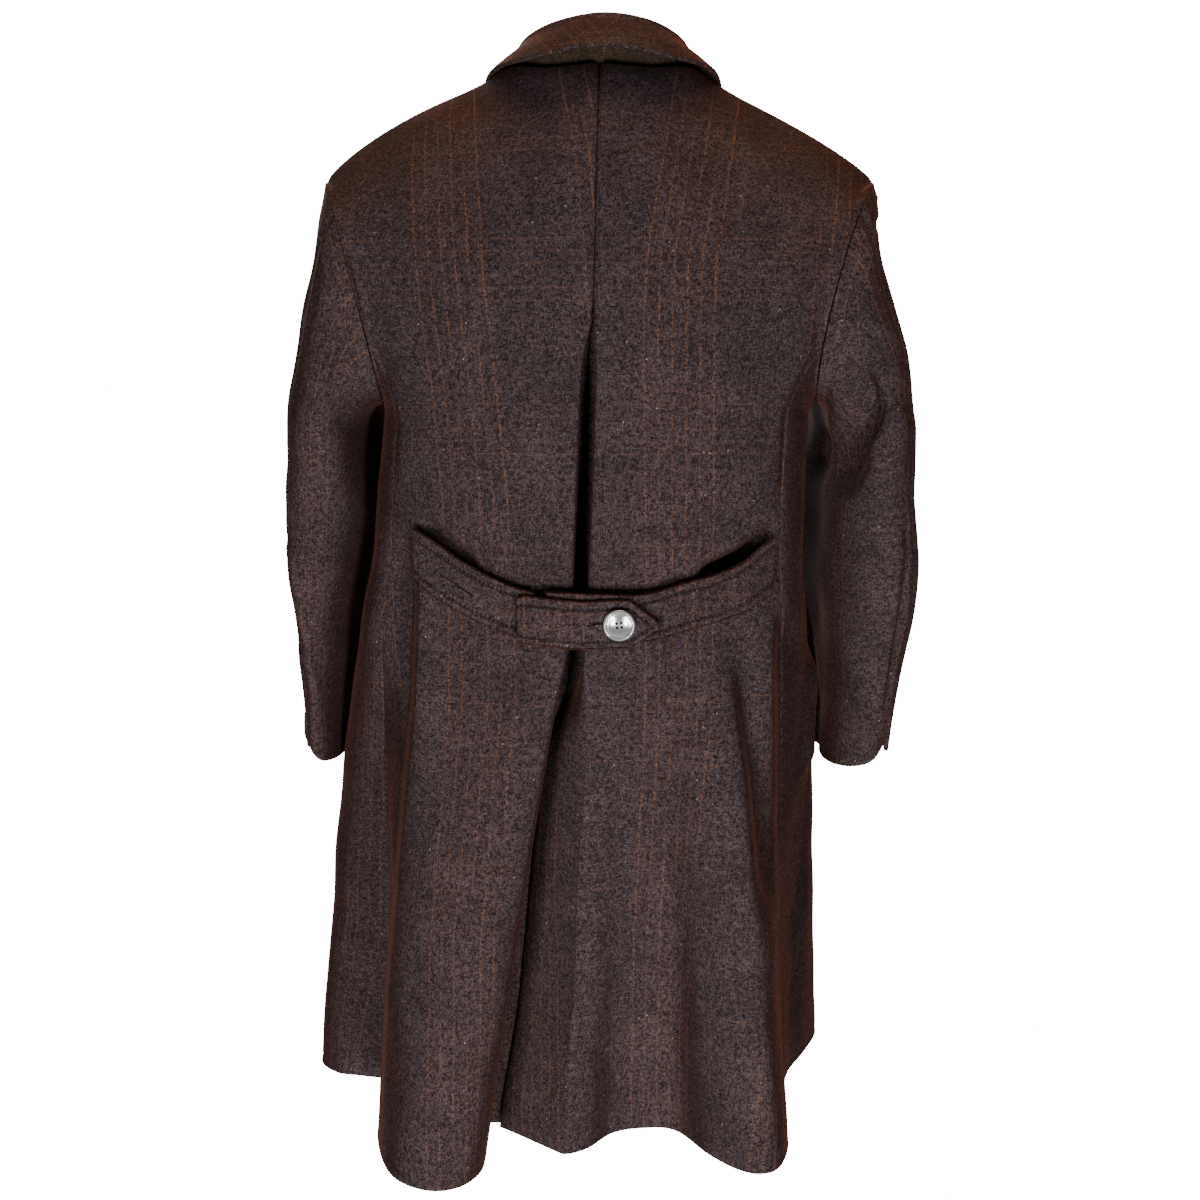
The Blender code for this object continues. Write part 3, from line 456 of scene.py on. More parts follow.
# %% Sizes of the collar, the half belt and the buttons
COLLAR_COLUMNS = ("fold_x", "fold_y", "fold_z", "edge_x", "edge_y", "edge_z")
COLLAR = (
    (0.000, -0.056, 0.043, 0.000, -0.094, 0.011),
    (0.0545, -0.036, 0.0345, 0.064, -0.078, 0.003),
    (0.0780, 0.003, 0.0115, 0.1075, 0.004, -0.0075),
    (0.056, 0.052, -0.038, 0.095, 0.090, -0.073),
    (0.010, 0.078, -0.062, 0.032, 0.112, -0.118),
)
COLLAR_END = 0.12
COLLAR_OVER_LAP = 0.0045
COLLAR_BELLY = 0.002
COLLAR_LEAN = 0.003
COLLAR_FOLD_RADIUS = 0.005
COLLAR_WALL = 0.0030

BELT_LINES = {
    "left": ((-0.165, -0.4235), (-0.155, -0.4290), (-0.119, -0.4510), (-0.074, -0.4705), (-0.050, -0.4760)),
    "right": (
        (-0.050, -0.4735), (0.000, -0.4755), (0.0425, -0.4755), (0.075, -0.4668), (0.105, -0.4590),
        (0.127, -0.4504), (0.152, -0.4340),
    ),
    "tab": ((-0.071, -0.4765), (-0.050, -0.4785), (-0.020, -0.4815), (0.0165, -0.4805), (0.051, -0.4825)),
}
BELT_HALF_WIDTH = 0.0212
BELT_WALL = 0.0042
BELT_SEWN_OFF = 0.0012
BELT_STAND_OFF = 0.0050
BELT_LEAN = 0.0015
LEFT_STRIP = (-0.162, -0.056)
RIGHT_STRIP = (0.151, -0.047)
TAB = (-0.071, 0.051)
TAB_HALF_WIDTH = 0.0216
TAB_POINT_LENGTH = 0.026
TAB_CORNER = 0.008
TAB_END_SHARE = 0.82
TAB_TIP_SHARE = 0.16

BUTTON_RADIUS = 0.0138
BUTTON_DEPTH = 0.0042
BELT_BUTTON_X = 0.0165
BELT_BUTTON_Z = -0.4805
FRONT_BUTTON_ZS = (-0.170, -0.310, -0.450, -0.590)


# %% Form functions
def xyz(x, y, z):
    """Points from their three coordinates."""
    return np.stack(np.broadcast_arrays(x, y, z), -1)


def bell(gap, width):
    """1 where the gap is 0, fading out smoothly on both sides."""
    return np.exp(-((gap / width) ** 2))


def column(table, names, name):
    return np.array([row[names.index(name)] for row in table], float)


def through(stations, values, at):
    """A smooth curve through the values at rising stations, read at other places."""
    stations = np.asarray(stations, float)
    values = np.asarray(values, float)
    at = np.clip(np.asarray(at, float), stations[0], stations[-1])
    slopes = np.gradient(values, stations, axis=0)
    i = np.clip(np.searchsorted(stations, at, side="right") - 1, 0, len(stations) - 2)
    more = (1,) * (values.ndim - 1)
    span = (stations[i + 1] - stations[i]).reshape(at.shape + more)
    w = ((at - stations[i]).reshape(at.shape + more)) / span
    return (
        values[i] * (2 * w**3 - 3 * w**2 + 1)
        + slopes[i] * span * (w**3 - 2 * w**2 + w)
        + values[i + 1] * (3 * w**2 - 2 * w**3)
        + slopes[i + 1] * span * (w**3 - w**2)
    )


def read(table, names, name, z):
    heights = column(table, names, "z")
    order = np.argsort(heights)
    return through(heights[order], column(table, names, name)[order], z)


def body(name, z):
    return read(SECTIONS, SECTION_COLUMNS, name, z)


def pleat(name, z):
    return np.interp(z, column(PLEAT, PLEAT_COLUMNS, "z"), column(PLEAT, PLEAT_COLUMNS, name))


def ring(bearing, z):
    """Points of the body's level sections: squared ovals with their own left, right, back and front."""
    s = np.sin(np.radians(bearing))
    c = np.cos(np.radians(bearing))
    half = np.where(s > 0, body("right", z), body("left", z))
    depth = np.where(c > 0, body("back", z), body("front", z))
    power = body("squareness", z)
    reach = ((np.abs(s) / half) ** power + (np.abs(c) / depth) ** power) ** (-1 / power)
    return xyz(reach * s, -reach * c, z)


def back_depth(x, z):
    half = np.where(x > 0, body("right", z), body("left", z))
    power = body("squareness", z)
    return -body("back", z) * (1 - (np.abs(x) / half) ** power) ** (1 / power)


def scoop(angle, side):
    """How far the armhole is cut in towards the middle of the back."""
    return ARMHOLE_SCOOP[side] * np.maximum(np.sin(np.radians(angle)), 0) ** SCOOP_POWER


def armhole(angle, side):
    """The armhole's loop on the +X side: 0 at the shoulder tip, 90 at the back, 180 under the arm."""
    a = np.radians(angle)
    return xyz(
        ARMHOLE_X + ARMHOLE_LEAN * np.cos(a) - scoop(angle, side),
        -ARMHOLE_HALF_DEPTH * np.sin(a),
        ARMHOLE_Z + ARMHOLE_HALF_HEIGHT * np.cos(a))


def neck(w, middle_y, middle_z):
    a = w * math.pi / 2
    return xyz(
        NECK_HALF * w,
        NECK_POINT_Y + (middle_y - NECK_POINT_Y) * np.cos(a),
        NECK_POINT_Z + (middle_z - NECK_POINT_Z) * np.cos(a))


def shoulder(w, side):
    """The shoulder seam on the +X side, from the neck point to the tip, lifted by a pad."""
    lifted = SHOULDER_PAD[side] * w**1.5 * np.sqrt(1 - w) / PAD_PEAK
    return xyz(
        NECK_HALF + (SHOULDER_HALF - NECK_HALF) * w,
        NECK_POINT_Y * (1 - w),
        NECK_POINT_Z - SHOULDER_DROP * w ** SHOULDER_CURVE[side] + lifted)


def top_edge(share, neck_share, tip_share, middle_y, middle_z, armhole_end, side):
    """A panel's top edge: neck, shoulder and armhole, by share of the panel's width."""
    on_neck = neck(np.clip(share / neck_share, 0, 1), middle_y, middle_z)
    on_shoulder = shoulder(np.clip((share - neck_share) / (tip_share - neck_share), 0, 1), side)
    on_armhole = armhole(np.clip((share - tip_share) / (1 - tip_share), 0, 1) * armhole_end, side)
    part = np.where(share <= neck_share, 0, np.where(share <= tip_share, 1, 2))[:, None]
    edge = np.where(part == 0, on_neck, np.where(part == 1, on_shoulder, on_armhole))
    return edge if side == "right" else mirrored(edge)


def mirrored(points):
    return points * np.array([-1, 1, 1])


def eased(x):
    """0 below 0, 1 above 1, and smooth between."""
    x = np.clip(x, 0, 1)
    return x * x * (3 - 2 * x)


print("back at the waist: y = %.3f" % back_depth(0.05, -0.45))

# %% [markdown]
# ## Cloth helpers
# A sheet of cloth is a grid of points. It can be relaxed, rippled and creased, and is then given a thickness
# with rounded edges. A crease is a soft trough or ridge along a path that is given as x and z.


# %% Grids of cloth
BACKWARDS = (0, -1, 0)
CREASE_FADE = 0.3
CREASE_END = 0.15
WAVES = 9
WAVE_LENGTHS = (0.07, 0.20)


def relaxed(points, rounds, axis, hold):
    """Evens a grid along one of its directions. A point with a hold of 1 stays put."""
    moved = np.moveaxis(points, axis, 0).copy()
    free = 1 - np.moveaxis(np.broadcast_to(hold[..., None], points.shape), axis, 0)[1:-1]
    for _ in range(rounds):
        moved[1:-1] += ((moved[:-2] + moved[2:]) / 2 - moved[1:-1]) * free / 2
    return np.moveaxis(moved, 0, axis)


def grid_normals(points, outward):
    """Unit normals of a grid, turned so that the middle one agrees with a rough direction."""
    normals = np.cross(np.gradient(points, axis=1), np.gradient(points, axis=0))
    normals /= np.linalg.norm(normals, axis=-1, keepdims=True)
    middle = normals[normals.shape[0] // 2, normals.shape[1] // 2]
    return normals if np.dot(middle, outward) > 0 else -normals


def pushed(points, outward, amount):
    """Moves the points of a grid along their normals."""
    return points + grid_normals(points, outward) * amount[..., None]


def run_length(points, axis):
    """How far along its row or column each point of a grid lies."""
    step = np.linalg.norm(np.diff(points, axis=axis), axis=-1)
    return np.concatenate([np.zeros_like(np.take(step, [0], axis)), np.cumsum(step, axis)], axis)


def along_path(spots, path):
    """The distance of each spot from a path of straight pieces, and its place along it from 0 to 1."""
    path = np.array(path, float)
    pieces = np.diff(path, axis=0)
    sizes = np.linalg.norm(pieces, axis=1)
    nearest = np.full(spots.shape[:-1], np.inf)
    place = np.zeros(spots.shape[:-1])
    for corner, piece, size, done in zip(path, pieces, sizes, np.cumsum(sizes) - sizes):
        w = np.clip(((spots - corner) @ piece) / size**2, 0, 1)
        gap = np.linalg.norm(spots - corner - w[..., None] * piece, axis=-1)
        place = np.where(gap < nearest, (done + w * size) / sizes.sum(), place)
        nearest = np.minimum(gap, nearest)
    return nearest, place


def creased(points, outward, creases, room=1.0, facing=-1):
    """Lays creases into a grid: a positive depth is a trough, a negative one a ridge."""
    for depth, width, path in creases:
        normals = grid_normals(points, outward)
        gap, place = along_path(points[..., (0, 2)], path)
        fade = eased(np.minimum(place, 1 - place) / CREASE_FADE + CREASE_END)
        seen = eased(facing * normals[..., 1] * 3 + 0.3)
        push = depth * bell(gap, width) * fade * seen * room
        points = points - normals * push[..., None]
    return points


def rippled(points, outward, seed, height, room=1.0):
    """A slight unevenness, as cloth has that has been worn."""
    chance = np.random.default_rng(seed)
    wave = np.zeros(points.shape[:2])
    for _ in range(WAVES):
        turn = chance.uniform(0, 2 * math.pi)
        pitch = 2 * math.pi / chance.uniform(*WAVE_LENGTHS)
        along_turn = points[..., 0] * math.cos(turn) + points[..., 2] * math.sin(turn) + points[..., 1] * 0.5
        wave += np.sin(along_turn * pitch + chance.uniform(0, 2 * math.pi))
    return pushed(points, outward, wave / math.sqrt(WAVES) * height * room)


def near_edges(points, reach, sides):
    """1 well inside a grid, falling to 0 at the named sides: bottom, top, first or last."""
    down = run_length(points, 0)
    over = run_length(points, 1)
    gaps = {"bottom": down, "top": down[-1:] - down, "first": over, "last": over[:, -1:] - over}
    room = np.ones(points.shape[:2])
    for side in sides:
        room = room * eased(gaps[side] / reach)
    return room


print("waves in rippled cloth:", WAVES)

# %% Cloth meshes
ROUND_STEPS = 4


def cloth_mesh(name, vertices, faces, uv, materials, slots):
    mesh = bpy.data.meshes.new(name)
    mesh.from_pydata(vertices.tolist(), [], faces.tolist())
    corners = np.empty(len(mesh.loops), np.int32)
    mesh.loops.foreach_get("vertex_index", corners)
    layer = mesh.uv_layers.new(name="cloth")
    layer.data.foreach_set("uv", uv[corners].astype(np.float32).ravel())
    for material in materials:
        mesh.materials.append(material)
    mesh.polygons.foreach_set("material_index", np.asarray(slots, np.int32))
    mesh.shade_smooth()
    mesh.update()
    return add_object(name, mesh)


def shell(name, points, uv, thickness, outward, materials, bulge=1.0):
    """A closed sheet with rounded edges: the outer grid, a grid under it, and half-round strips round both.
    The edge is drawn in, so that its roundest place lies where the grid ended."""
    rows, columns = points.shape[:2]
    normals = grid_normals(points, outward)
    across = np.cross(np.gradient(points, axis=1), np.gradient(points, axis=0))
    flipped = (across[rows // 2, columns // 2] * normals[rows // 2, columns // 2]).sum() < 0
    half = np.broadcast_to(np.asarray(thickness, float), (rows, columns))[..., None] / 2
    out = np.zeros_like(points)
    out[0] += points[0] - points[1]
    out[-1] += points[-1] - points[-2]
    out[:, 0] += points[:, 0] - points[:, 1]
    out[:, -1] += points[:, -1] - points[:, -2]
    out -= normals * (out * normals).sum(-1, keepdims=True)
    out /= np.maximum(np.linalg.norm(out, axis=-1, keepdims=True), 1e-9)
    points = points - out * half * bulge

    number = np.arange(rows * columns).reshape(rows, columns)
    quads = np.stack([number[:-1, :-1], number[:-1, 1:], number[1:, 1:], number[1:, :-1]], -1).reshape(-1, 4)
    loop = np.concatenate([number[0], number[1:, -1], number[-1, -2::-1], number[-2:0:-1, 0]])
    flat = [a.reshape(-1, 3) for a in (points, normals, out)]
    flat_half = half.reshape(-1, 1)
    middle = flat[0][loop] - flat[1][loop] * flat_half[loop]
    strips = [loop]
    vertices = [flat[0], flat[0] - 2 * flat[1] * flat_half]
    uvs = [uv.reshape(-1, 2)] * 2
    for step in range(1, ROUND_STEPS):
        a = math.pi * step / ROUND_STEPS
        reach = flat[1][loop] * math.cos(a) + flat[2][loop] * math.sin(a) * bulge
        strips.append(2 * rows * columns + (step - 1) * len(loop) + np.arange(len(loop)))
        vertices.append(middle + reach * flat_half[loop])
        uvs.append(uv.reshape(-1, 2)[loop])
    strips.append(loop + rows * columns)
    faces = [quads, quads[:, ::-1] + rows * columns]
    for over, under in zip(strips, strips[1:]):
        faces.append(np.stack([np.roll(over, -1), over, under, np.roll(under, -1)], -1))
    slots = np.zeros(sum(len(f) for f in faces), int)
    if len(materials) > 1:
        slots[len(quads):2 * len(quads)] = 1
    faces = np.concatenate(faces)
    faces = faces[:, ::-1] if flipped else faces
    return cloth_mesh(name, np.concatenate(vertices), faces, np.concatenate(uvs), materials, slots)


def sew_in(piece, node, points):
    """Ties a cloth piece to its solid, and notes the size that it was cut to, from its own grid."""
    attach(piece, "root")
    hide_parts(node)
    over, down = run_length(points, 1)[:, -1], run_length(points, 0)[-1]
    a, b, c, d = points[:-1, :-1], points[:-1, 1:], points[1:, 1:], points[1:, :-1]
    area = float(np.linalg.norm(np.cross(c - a, d - b), axis=-1).sum() / 2)
    size = (round(float(over.max()), 3), round(float(down.max()), 3))
    area = round(min(area, size[0] * size[1]), 4)
    print("%s: %d faces, cut %.3f by %.3f m, %.3f m2" % (piece.name, len(piece.data.polygons), *size, area))


print("edges rounded in %d steps" % ROUND_STEPS)

# %% [markdown]
# ## Body panels
# A panel runs from the hem up to the neck, shoulder and armhole. Its rows are level round the body, and above
# the chest they close in on the top edge.

# %% Body panel functions
ROW_STEP = 0.0045
SIDE_STEPS = {
    "left": (0.030, (
        (-0.1640, -0.4000), (-0.1590, -0.4600), (-0.1635, -0.5525), (-0.1737, -0.6408), (-0.1821, -0.7297),
        (-0.1915, -0.8191), (-0.1990, -0.9600),
    )),
    "right": (0.030, (
        (0.1530, -0.4700), (0.1550, -0.5350), (0.1585, -0.6170), (0.1610, -0.7000), (0.1640, -0.7950),
        (0.1660, -0.9600),
    )),
}
STEP_WIDTH = 0.009
STEP_REACH = 0.050
CREST, CREST_INSET, CREST_WIDTH = 0.007, 0.004, 0.017
SWELL, SWELL_Y, SWELL_WIDTH = 0.0105, 0.03, 0.026
SWELL_TOP_Z, SWELL_BOTTOM_Z = -0.530, -0.675
NECK_LIFT, NECK_LIFT_X, NECK_LIFT_WIDTH, NECK_LIFT_REACH = 0.010, 0.080, 0.026, 0.05
SEAM_GROOVE, GROOVE_HALF = 0.0030, 0.0024
SEAM_RIDGE, RIDGE_PLACE, RIDGE_HALF = 0.0010, 0.0075, 0.004
HEM_EXTRA, HEM_TURN_UP, HEM_EASE = 0.0022, 0.034, 0.012
CUFF_TURN_UP = 0.036
HEM_STITCH = (0.009, 0.0006, 0.0022)
YOKE_LENGTH = 0.36
ROUNDS_DOWN, ROUNDS_OVER = 26, 70
LEVEL_DIP = 0.03
LEVEL_GROUPS = (-0.042, -0.169, -0.299, -0.433, -0.571, -0.712, -0.858, -1.005)


def rows_between(length):
    return max(2, int(round(length / ROW_STEP)))


def panel_points(folds, share, top, fullness, centre_x, power):
    """A body panel's points, rows from the hem up, and where each row lies above the chest, from 0 to 1."""
    stations = column(folds, FOLD_COLUMNS, "share")
    bearing, hem_x, hem_y, lift = (
        through(stations, column(folds, FOLD_COLUMNS, name), share) for name in FOLD_COLUMNS[1:]
    )
    near_centre = (1 - share) ** 3
    waist = ring(bearing, SKIRT_Z)
    waist[:, 0] += near_centre * centre_x(SKIRT_Z)
    down = np.linspace(1, 0, rows_between(SKIRT_Z - HEM_Z), endpoint=False)[:, None]
    spread = down**power
    skirt = xyz(
        waist[:, 0] + (hem_x - waist[:, 0]) * spread,
        waist[:, 1] + (hem_y - waist[:, 1]) * spread,
        SKIRT_Z + (HEM_Z - SKIRT_Z + lift) * down)
    heights = np.linspace(SKIRT_Z, CHEST_Z, rows_between(CHEST_Z - SKIRT_Z), endpoint=False)[:, None]
    torso = ring(bearing[None], heights)
    torso[..., 0] += near_centre * centre_x(heights)
    foot = ring(bearing, CHEST_Z)
    up = np.linspace(0, 1, rows_between(YOKE_LENGTH))[:, None]
    powers = np.stack([up**YOKE_TAPER, up**fullness, 1 - (1 - up) ** SHOULDER_ROUND], -1)
    yoke = foot + (top - foot) * powers
    yoke[..., 0] += near_centre * centre_x(yoke[..., 2])
    above = np.concatenate([np.zeros(len(skirt) + len(torso)), up[:, 0]])
    return np.concatenate([skirt, torso, yoke]), above


def softened(points, above):
    """Takes out the bends between skirt, torso and shoulder, and below the corners of the top edge."""
    hold = np.zeros(points.shape[:2])
    hold[0] = hold[-1] = 1
    points = relaxed(points, ROUNDS_DOWN, 0, hold)
    yoke = eased(above / 0.25) * eased((1 - above) / 0.22)
    return relaxed(points, ROUNDS_OVER, 1, np.broadcast_to(1 - yoke[:, None], points.shape[:2]))


def line_x(line, z):
    """Where a charted line of x and z, given from the top down, crosses a height."""
    line = np.array(line)[::-1]
    return np.interp(z, line[:, 1], line[:, 0])


def check_map(points, above, line, next_line=None):
    """The cloth's map: how far across it lies from a charted line of x and z, and its height. A second line,
    where it is given, is the first one of the next group."""
    from_line = points[..., 0] - line_x(line, points[..., 2])
    if next_line:
        charted = line_x(next_line, points[..., 2]) - line_x(line, points[..., 2])
        from_line = from_line * GROUP_PERIOD / charted
    sign = 1 if points[0, -1, 0] > points[0, 0, 0] else -1
    over = sign * run_length(points, 1)
    level = np.empty(over.shape)
    for row, (off, run) in enumerate(zip(from_line, over)):
        order = np.argsort(off)
        level[row] = run - np.interp(0, off[order], run[order])
    chest = int(np.argmax(above > 0))
    folded_away = level[chest] - from_line[chest]
    upper = from_line + folded_away * (1 - above[:, None])
    across = np.where(above[:, None] > 0, upper, level)
    groups = np.array(LEVEL_GROUPS)[::-1]
    height = np.interp(points[..., 2], groups, np.arange(len(groups)) * GROUP_PERIOD)
    return np.stack([across, height + LEVEL_DIP * (points[..., 1] + 0.12)], -1)


def stepped_back(points, side):
    """Lets the side of the skirt fall back behind the last fold of the back, beyond a charted edge."""
    depth, edge = SIDE_STEPS[side]
    sign = 1 if side == "right" else -1
    x, y, z = np.moveaxis(points, -1, 0)
    beyond = sign * (x - line_x(edge, z))
    along_edge = eased((edge[0][1] - z) / 0.06) * eased((z - edge[-1][1]) / 0.12)
    push = depth * eased(beyond / STEP_WIDTH) * bell(np.maximum(beyond, 0), STEP_REACH)
    push = push * along_edge * eased((0.10 - y) / 0.06)
    push = push - CREST * bell(beyond + CREST_INSET, CREST_WIDTH) * along_edge * eased(-y / 0.03)
    points = points + push[..., None] * np.array([0, 1, 0])
    if side == "right":
        beside_sleeve = eased((SWELL_TOP_Z - z) / 0.04) * eased((z - SWELL_BOTTOM_Z) / 0.035)
        points[..., 0] += SWELL * beside_sleeve * bell(y - SWELL_Y, SWELL_WIDTH) * eased((x - 0.14) / 0.03)
    return points


def raised_neck(points):
    """Draws the cloth up under the collar, between the centre back and the neck points."""
    down = run_length(points, 0)
    x, y, _ = np.moveaxis(points, -1, 0)
    lift = NECK_LIFT * bell(np.abs(x) - NECK_LIFT_X, NECK_LIFT_WIDTH) * eased((0.025 - y) / 0.02)
    lift = lift * eased(1 - (down[-1:] - down) / NECK_LIFT_REACH)
    return points + lift[..., None] * np.array([0, 0, 1])


def seam_pulled_in(points, column_place, facing, room=1.0):
    """A seam draws the cloth in, and the allowance under it lifts a ridge beside it."""
    over = run_length(points, 1)
    away = np.abs(over - over[:, column_place:][:, :1])
    lift = SEAM_RIDGE * bell(away - RIDGE_PLACE, RIDGE_HALF) - SEAM_GROOVE * bell(away, GROOVE_HALF)
    return pushed(points, facing, lift * room)


def turned_up(from_edge, turn_up):
    """The cloth's thickness, which is double where a hem or cuff is turned up."""
    return WALL + HEM_EXTRA * eased((turn_up - from_edge) / HEM_EASE)


def hem_thickness(points):
    return turned_up(run_length(points, 0), HEM_TURN_UP)


def stitched_down(points, outward):
    """A shallow groove above the hem, where the turned-up edge is caught."""
    height, depth, width = HEM_STITCH
    return pushed(points, outward, -depth * bell(run_length(points, 0) - height, width))


print("rows in the skirt:", rows_between(SKIRT_Z - HEM_Z))

# %% [markdown]
# ## Back
# Two halves meet in the centre seam, which opens into the inverted pleat. At the pleat each half turns in
# round a soft edge. Below the belt the left edge stands proud, and the right one rolls under it.

# %% Lines and creases of the back
LEFT_LINE = (
    (-0.1690, 0.0200), (-0.1646, -0.0775), (-0.1583, -0.1703), (-0.1506, -0.2373), (-0.1464, -0.2711),
    (-0.1383, -0.3743), (-0.1335, -0.4792), (-0.1323, -0.5568), (-0.1491, -0.7570), (-0.1521, -0.9013),
)
RIGHT_LINE = (
    (0.0675, -0.0097), (0.0536, -0.0861), (0.0398, -0.1661), (0.0374, -0.2373), (0.0387, -0.3224),
    (0.0401, -0.5135), (0.0395, -0.5851), (0.0313, -0.7686), (0.0292, -0.9250),
)
CENTRE_LINE = (
    (-0.0354, -0.0078), (-0.0195, -0.0781), (-0.0102, -0.1703), (-0.0068, -0.2122), (0.0060, -0.3100),
)
BACK_LEFT_CREASES = (
    (0.0090, 0.007, ((-0.158, -0.392), (-0.149, -0.404), (-0.130, -0.418), (-0.105, -0.433))),
    (0.0030, 0.020, ((-0.215, -0.150), (-0.203, -0.230), (-0.196, -0.300))),
    (-0.0030, 0.022, ((-0.185, -0.190), (-0.175, -0.290), (-0.168, -0.370))),
    (0.0025, 0.018, ((-0.170, -0.530), (-0.178, -0.660), (-0.186, -0.800))),
    (-0.0022, 0.025, ((-0.060, -0.540), (-0.085, -0.700), (-0.110, -0.880))),
)
BACK_RIGHT_CREASES = (
    (0.0240, 0.0075, ((0.085, -0.446), (0.101, -0.438), (0.127, -0.429), (0.146, -0.418), (0.156, -0.404))),
    (0.0040, 0.016, ((0.212, -0.170), (0.198, -0.235), (0.190, -0.300))),
    (-0.0035, 0.018, ((0.186, -0.215), (0.172, -0.300), (0.168, -0.380))),
    (0.0040, 0.016, ((0.005, -0.530), (0.002, -0.600), (-0.003, -0.700), (-0.012, -0.780))),
    (0.0110, 0.034, ((-0.014, -0.480), (-0.020, -0.560), (-0.042, -0.760), (-0.058, -0.960))),
    (0.0120, 0.013, (
        (0.1230, -0.4950), (0.1360, -0.5560), (0.1475, -0.6200), (0.1550, -0.6900), (0.158, -0.760),
    )),
)
TURN_STEPS = 9
FLATTER = 0.7
SEAM_LAP = 0.0016
UNDERCUT = 0.0055
ROLL_UNDER = 0.024
ROLLS = {"left": 0.15, "right": 1.0}
SEAM_ROUNDS, ROLL_ROUNDS = 8, 60
SEAM_SPAN, ROLL_SPAN = 5, 11
BACK_RIPPLE = 0.0011
print("creases in the back:", len(BACK_LEFT_CREASES) + len(BACK_RIGHT_CREASES))


# %% Back
def back_share():
    return np.unique(np.concatenate([
        np.linspace(0, BACK_NECK_SHARE, 34),
        np.linspace(BACK_NECK_SHARE, BACK_TIP_SHARE, 38),
        np.linspace(BACK_TIP_SHARE, 1, 42),
    ]))


def back_points(side, folds, creases, seed):
    """One half of the back with its turned-in edge, and each row's place above the chest."""
    share = back_share()
    top = top_edge(share, BACK_NECK_SHARE, BACK_TIP_SHARE, BACK_NECK_Y, 0.0, SEAM_ON_ARMHOLE, side)

    def centre_x(z):
        return pleat(side, z)

    points, above = panel_points(folds, share, top, BACK_FULLNESS, centre_x, SPREAD_POWER)
    points = softened(points, above)
    room = near_edges(points, 0.03, ("top", "first", "last"))
    points = rippled(points, BACKWARDS, seed, BACK_RIPPLE, room)
    points = creased(points, BACKWARDS, creases, near_edges(points, 0.012, ("top", "last")))
    points = raised_neck(stepped_back(points, side))
    points = stitched_down(points, BACKWARDS)
    points = seam_pulled_in(points, 0, BACKWARDS, eased((points[..., 2] - PLEAT_TOP_Z) / 0.012))
    edge = points[:, :1]
    depth = pleat("in_" + side, edge[..., 2])
    swing = pleat("swing_" + side, edge[..., 2])
    past_seam = SEAM_LAP * eased((edge[..., 2] - PLEAT_TOP_Z + 0.010) / 0.010)
    swing = swing + (past_seam if side == "left" else -past_seam)
    behind_edge = UNDERCUT * eased((PLEAT_TOP_Z - edge[..., 2]) / 0.03)
    below_belt = eased((SKIRT_Z - 0.02 - edge[..., 2]) / 0.10)
    if side == "left":
        swing = swing - behind_edge
    else:
        swing = swing + behind_edge * (1 - below_belt) - ROLL_UNDER * below_belt
    step = xyz(swing, depth, 0)
    turned = edge + step * np.linspace(1, 0, TURN_STEPS, endpoint=False)[None, :, None]
    whole = np.concatenate([turned, points], 1)
    corner = np.abs(np.arange(whole.shape[1]) - TURN_STEPS)
    open_here = eased((PLEAT_TOP_Z - whole[..., 2]) / 0.05)
    hold = 1 - eased((SEAM_SPAN - corner) / 3)[None] * (0.15 + 0.85 * open_here)
    whole = relaxed(whole, SEAM_ROUNDS, 1, hold)
    rolling = ROLLS[side] * eased((SKIRT_Z - 0.01 - whole[..., 2]) / 0.12)
    return relaxed(whole, ROLL_ROUNDS, 1, 1 - eased((ROLL_SPAN - corner) / 6)[None] * rolling), above


BACKS = {}
for side, folds, creases, line, next_line, seed in (
    ("left", BACK_LEFT_FOLDS, BACK_LEFT_CREASES, LEFT_LINE, CENTRE_LINE, 3),
    ("right", BACK_RIGHT_FOLDS, BACK_RIGHT_CREASES, RIGHT_LINE, None, 8),
):
    points, above = back_points(side, folds, creases, seed)
    BACKS[side] = points
    chart = check_map(points, above, line, next_line)
    piece = shell("back_%s_cloth" % side, points, chart, hem_thickness(points), BACKWARDS, [WOOL], FLATTER)
    sew_in(piece, "back_" + side, points)

# %% [markdown]
# ## Strip behind the pleat
# A narrow strip joins the two turned-in edges, so that the coat stays closed where the pleat opens.

# %% Strip behind the pleat
z = np.linspace(UNDERLAY[0][0], UNDERLAY[-1][0], rows_between(UNDERLAY[-1][0] - UNDERLAY[0][0]))
ends = [
    np.stack([np.interp(z, panel[:, 0, 2], panel[:, 0, k]) for k in (0, 1)], -1) for panel in BACKS.values()
]
middle_x = (ends[0][:, 0] + ends[1][:, 0]) / 2
behind = np.maximum(ends[0][:, 1], ends[1][:, 1]) + UNDERLAY_BEHIND
half = read(UNDERLAY, UNDERLAY_COLUMNS, "half_width", z)
points = np.stack([xyz(middle_x + half * v, behind, z) for v in np.linspace(-1, 1, 15)], 1)
chart = np.stack([points[..., 0] + 0.1, points[..., 2]], -1)
piece = shell("pleat_underlay_cloth", points, chart, hem_thickness(points), BACKWARDS, [WOOL])
sew_in(piece, "pleat_underlay", points)

# %% [markdown]
# ## Fronts
# The fronts are hidden in the photograph, so they are plain: closed to the neck, the left one lapped over the
# right one, with the same soft folds in the skirt and a slight pull towards each button.

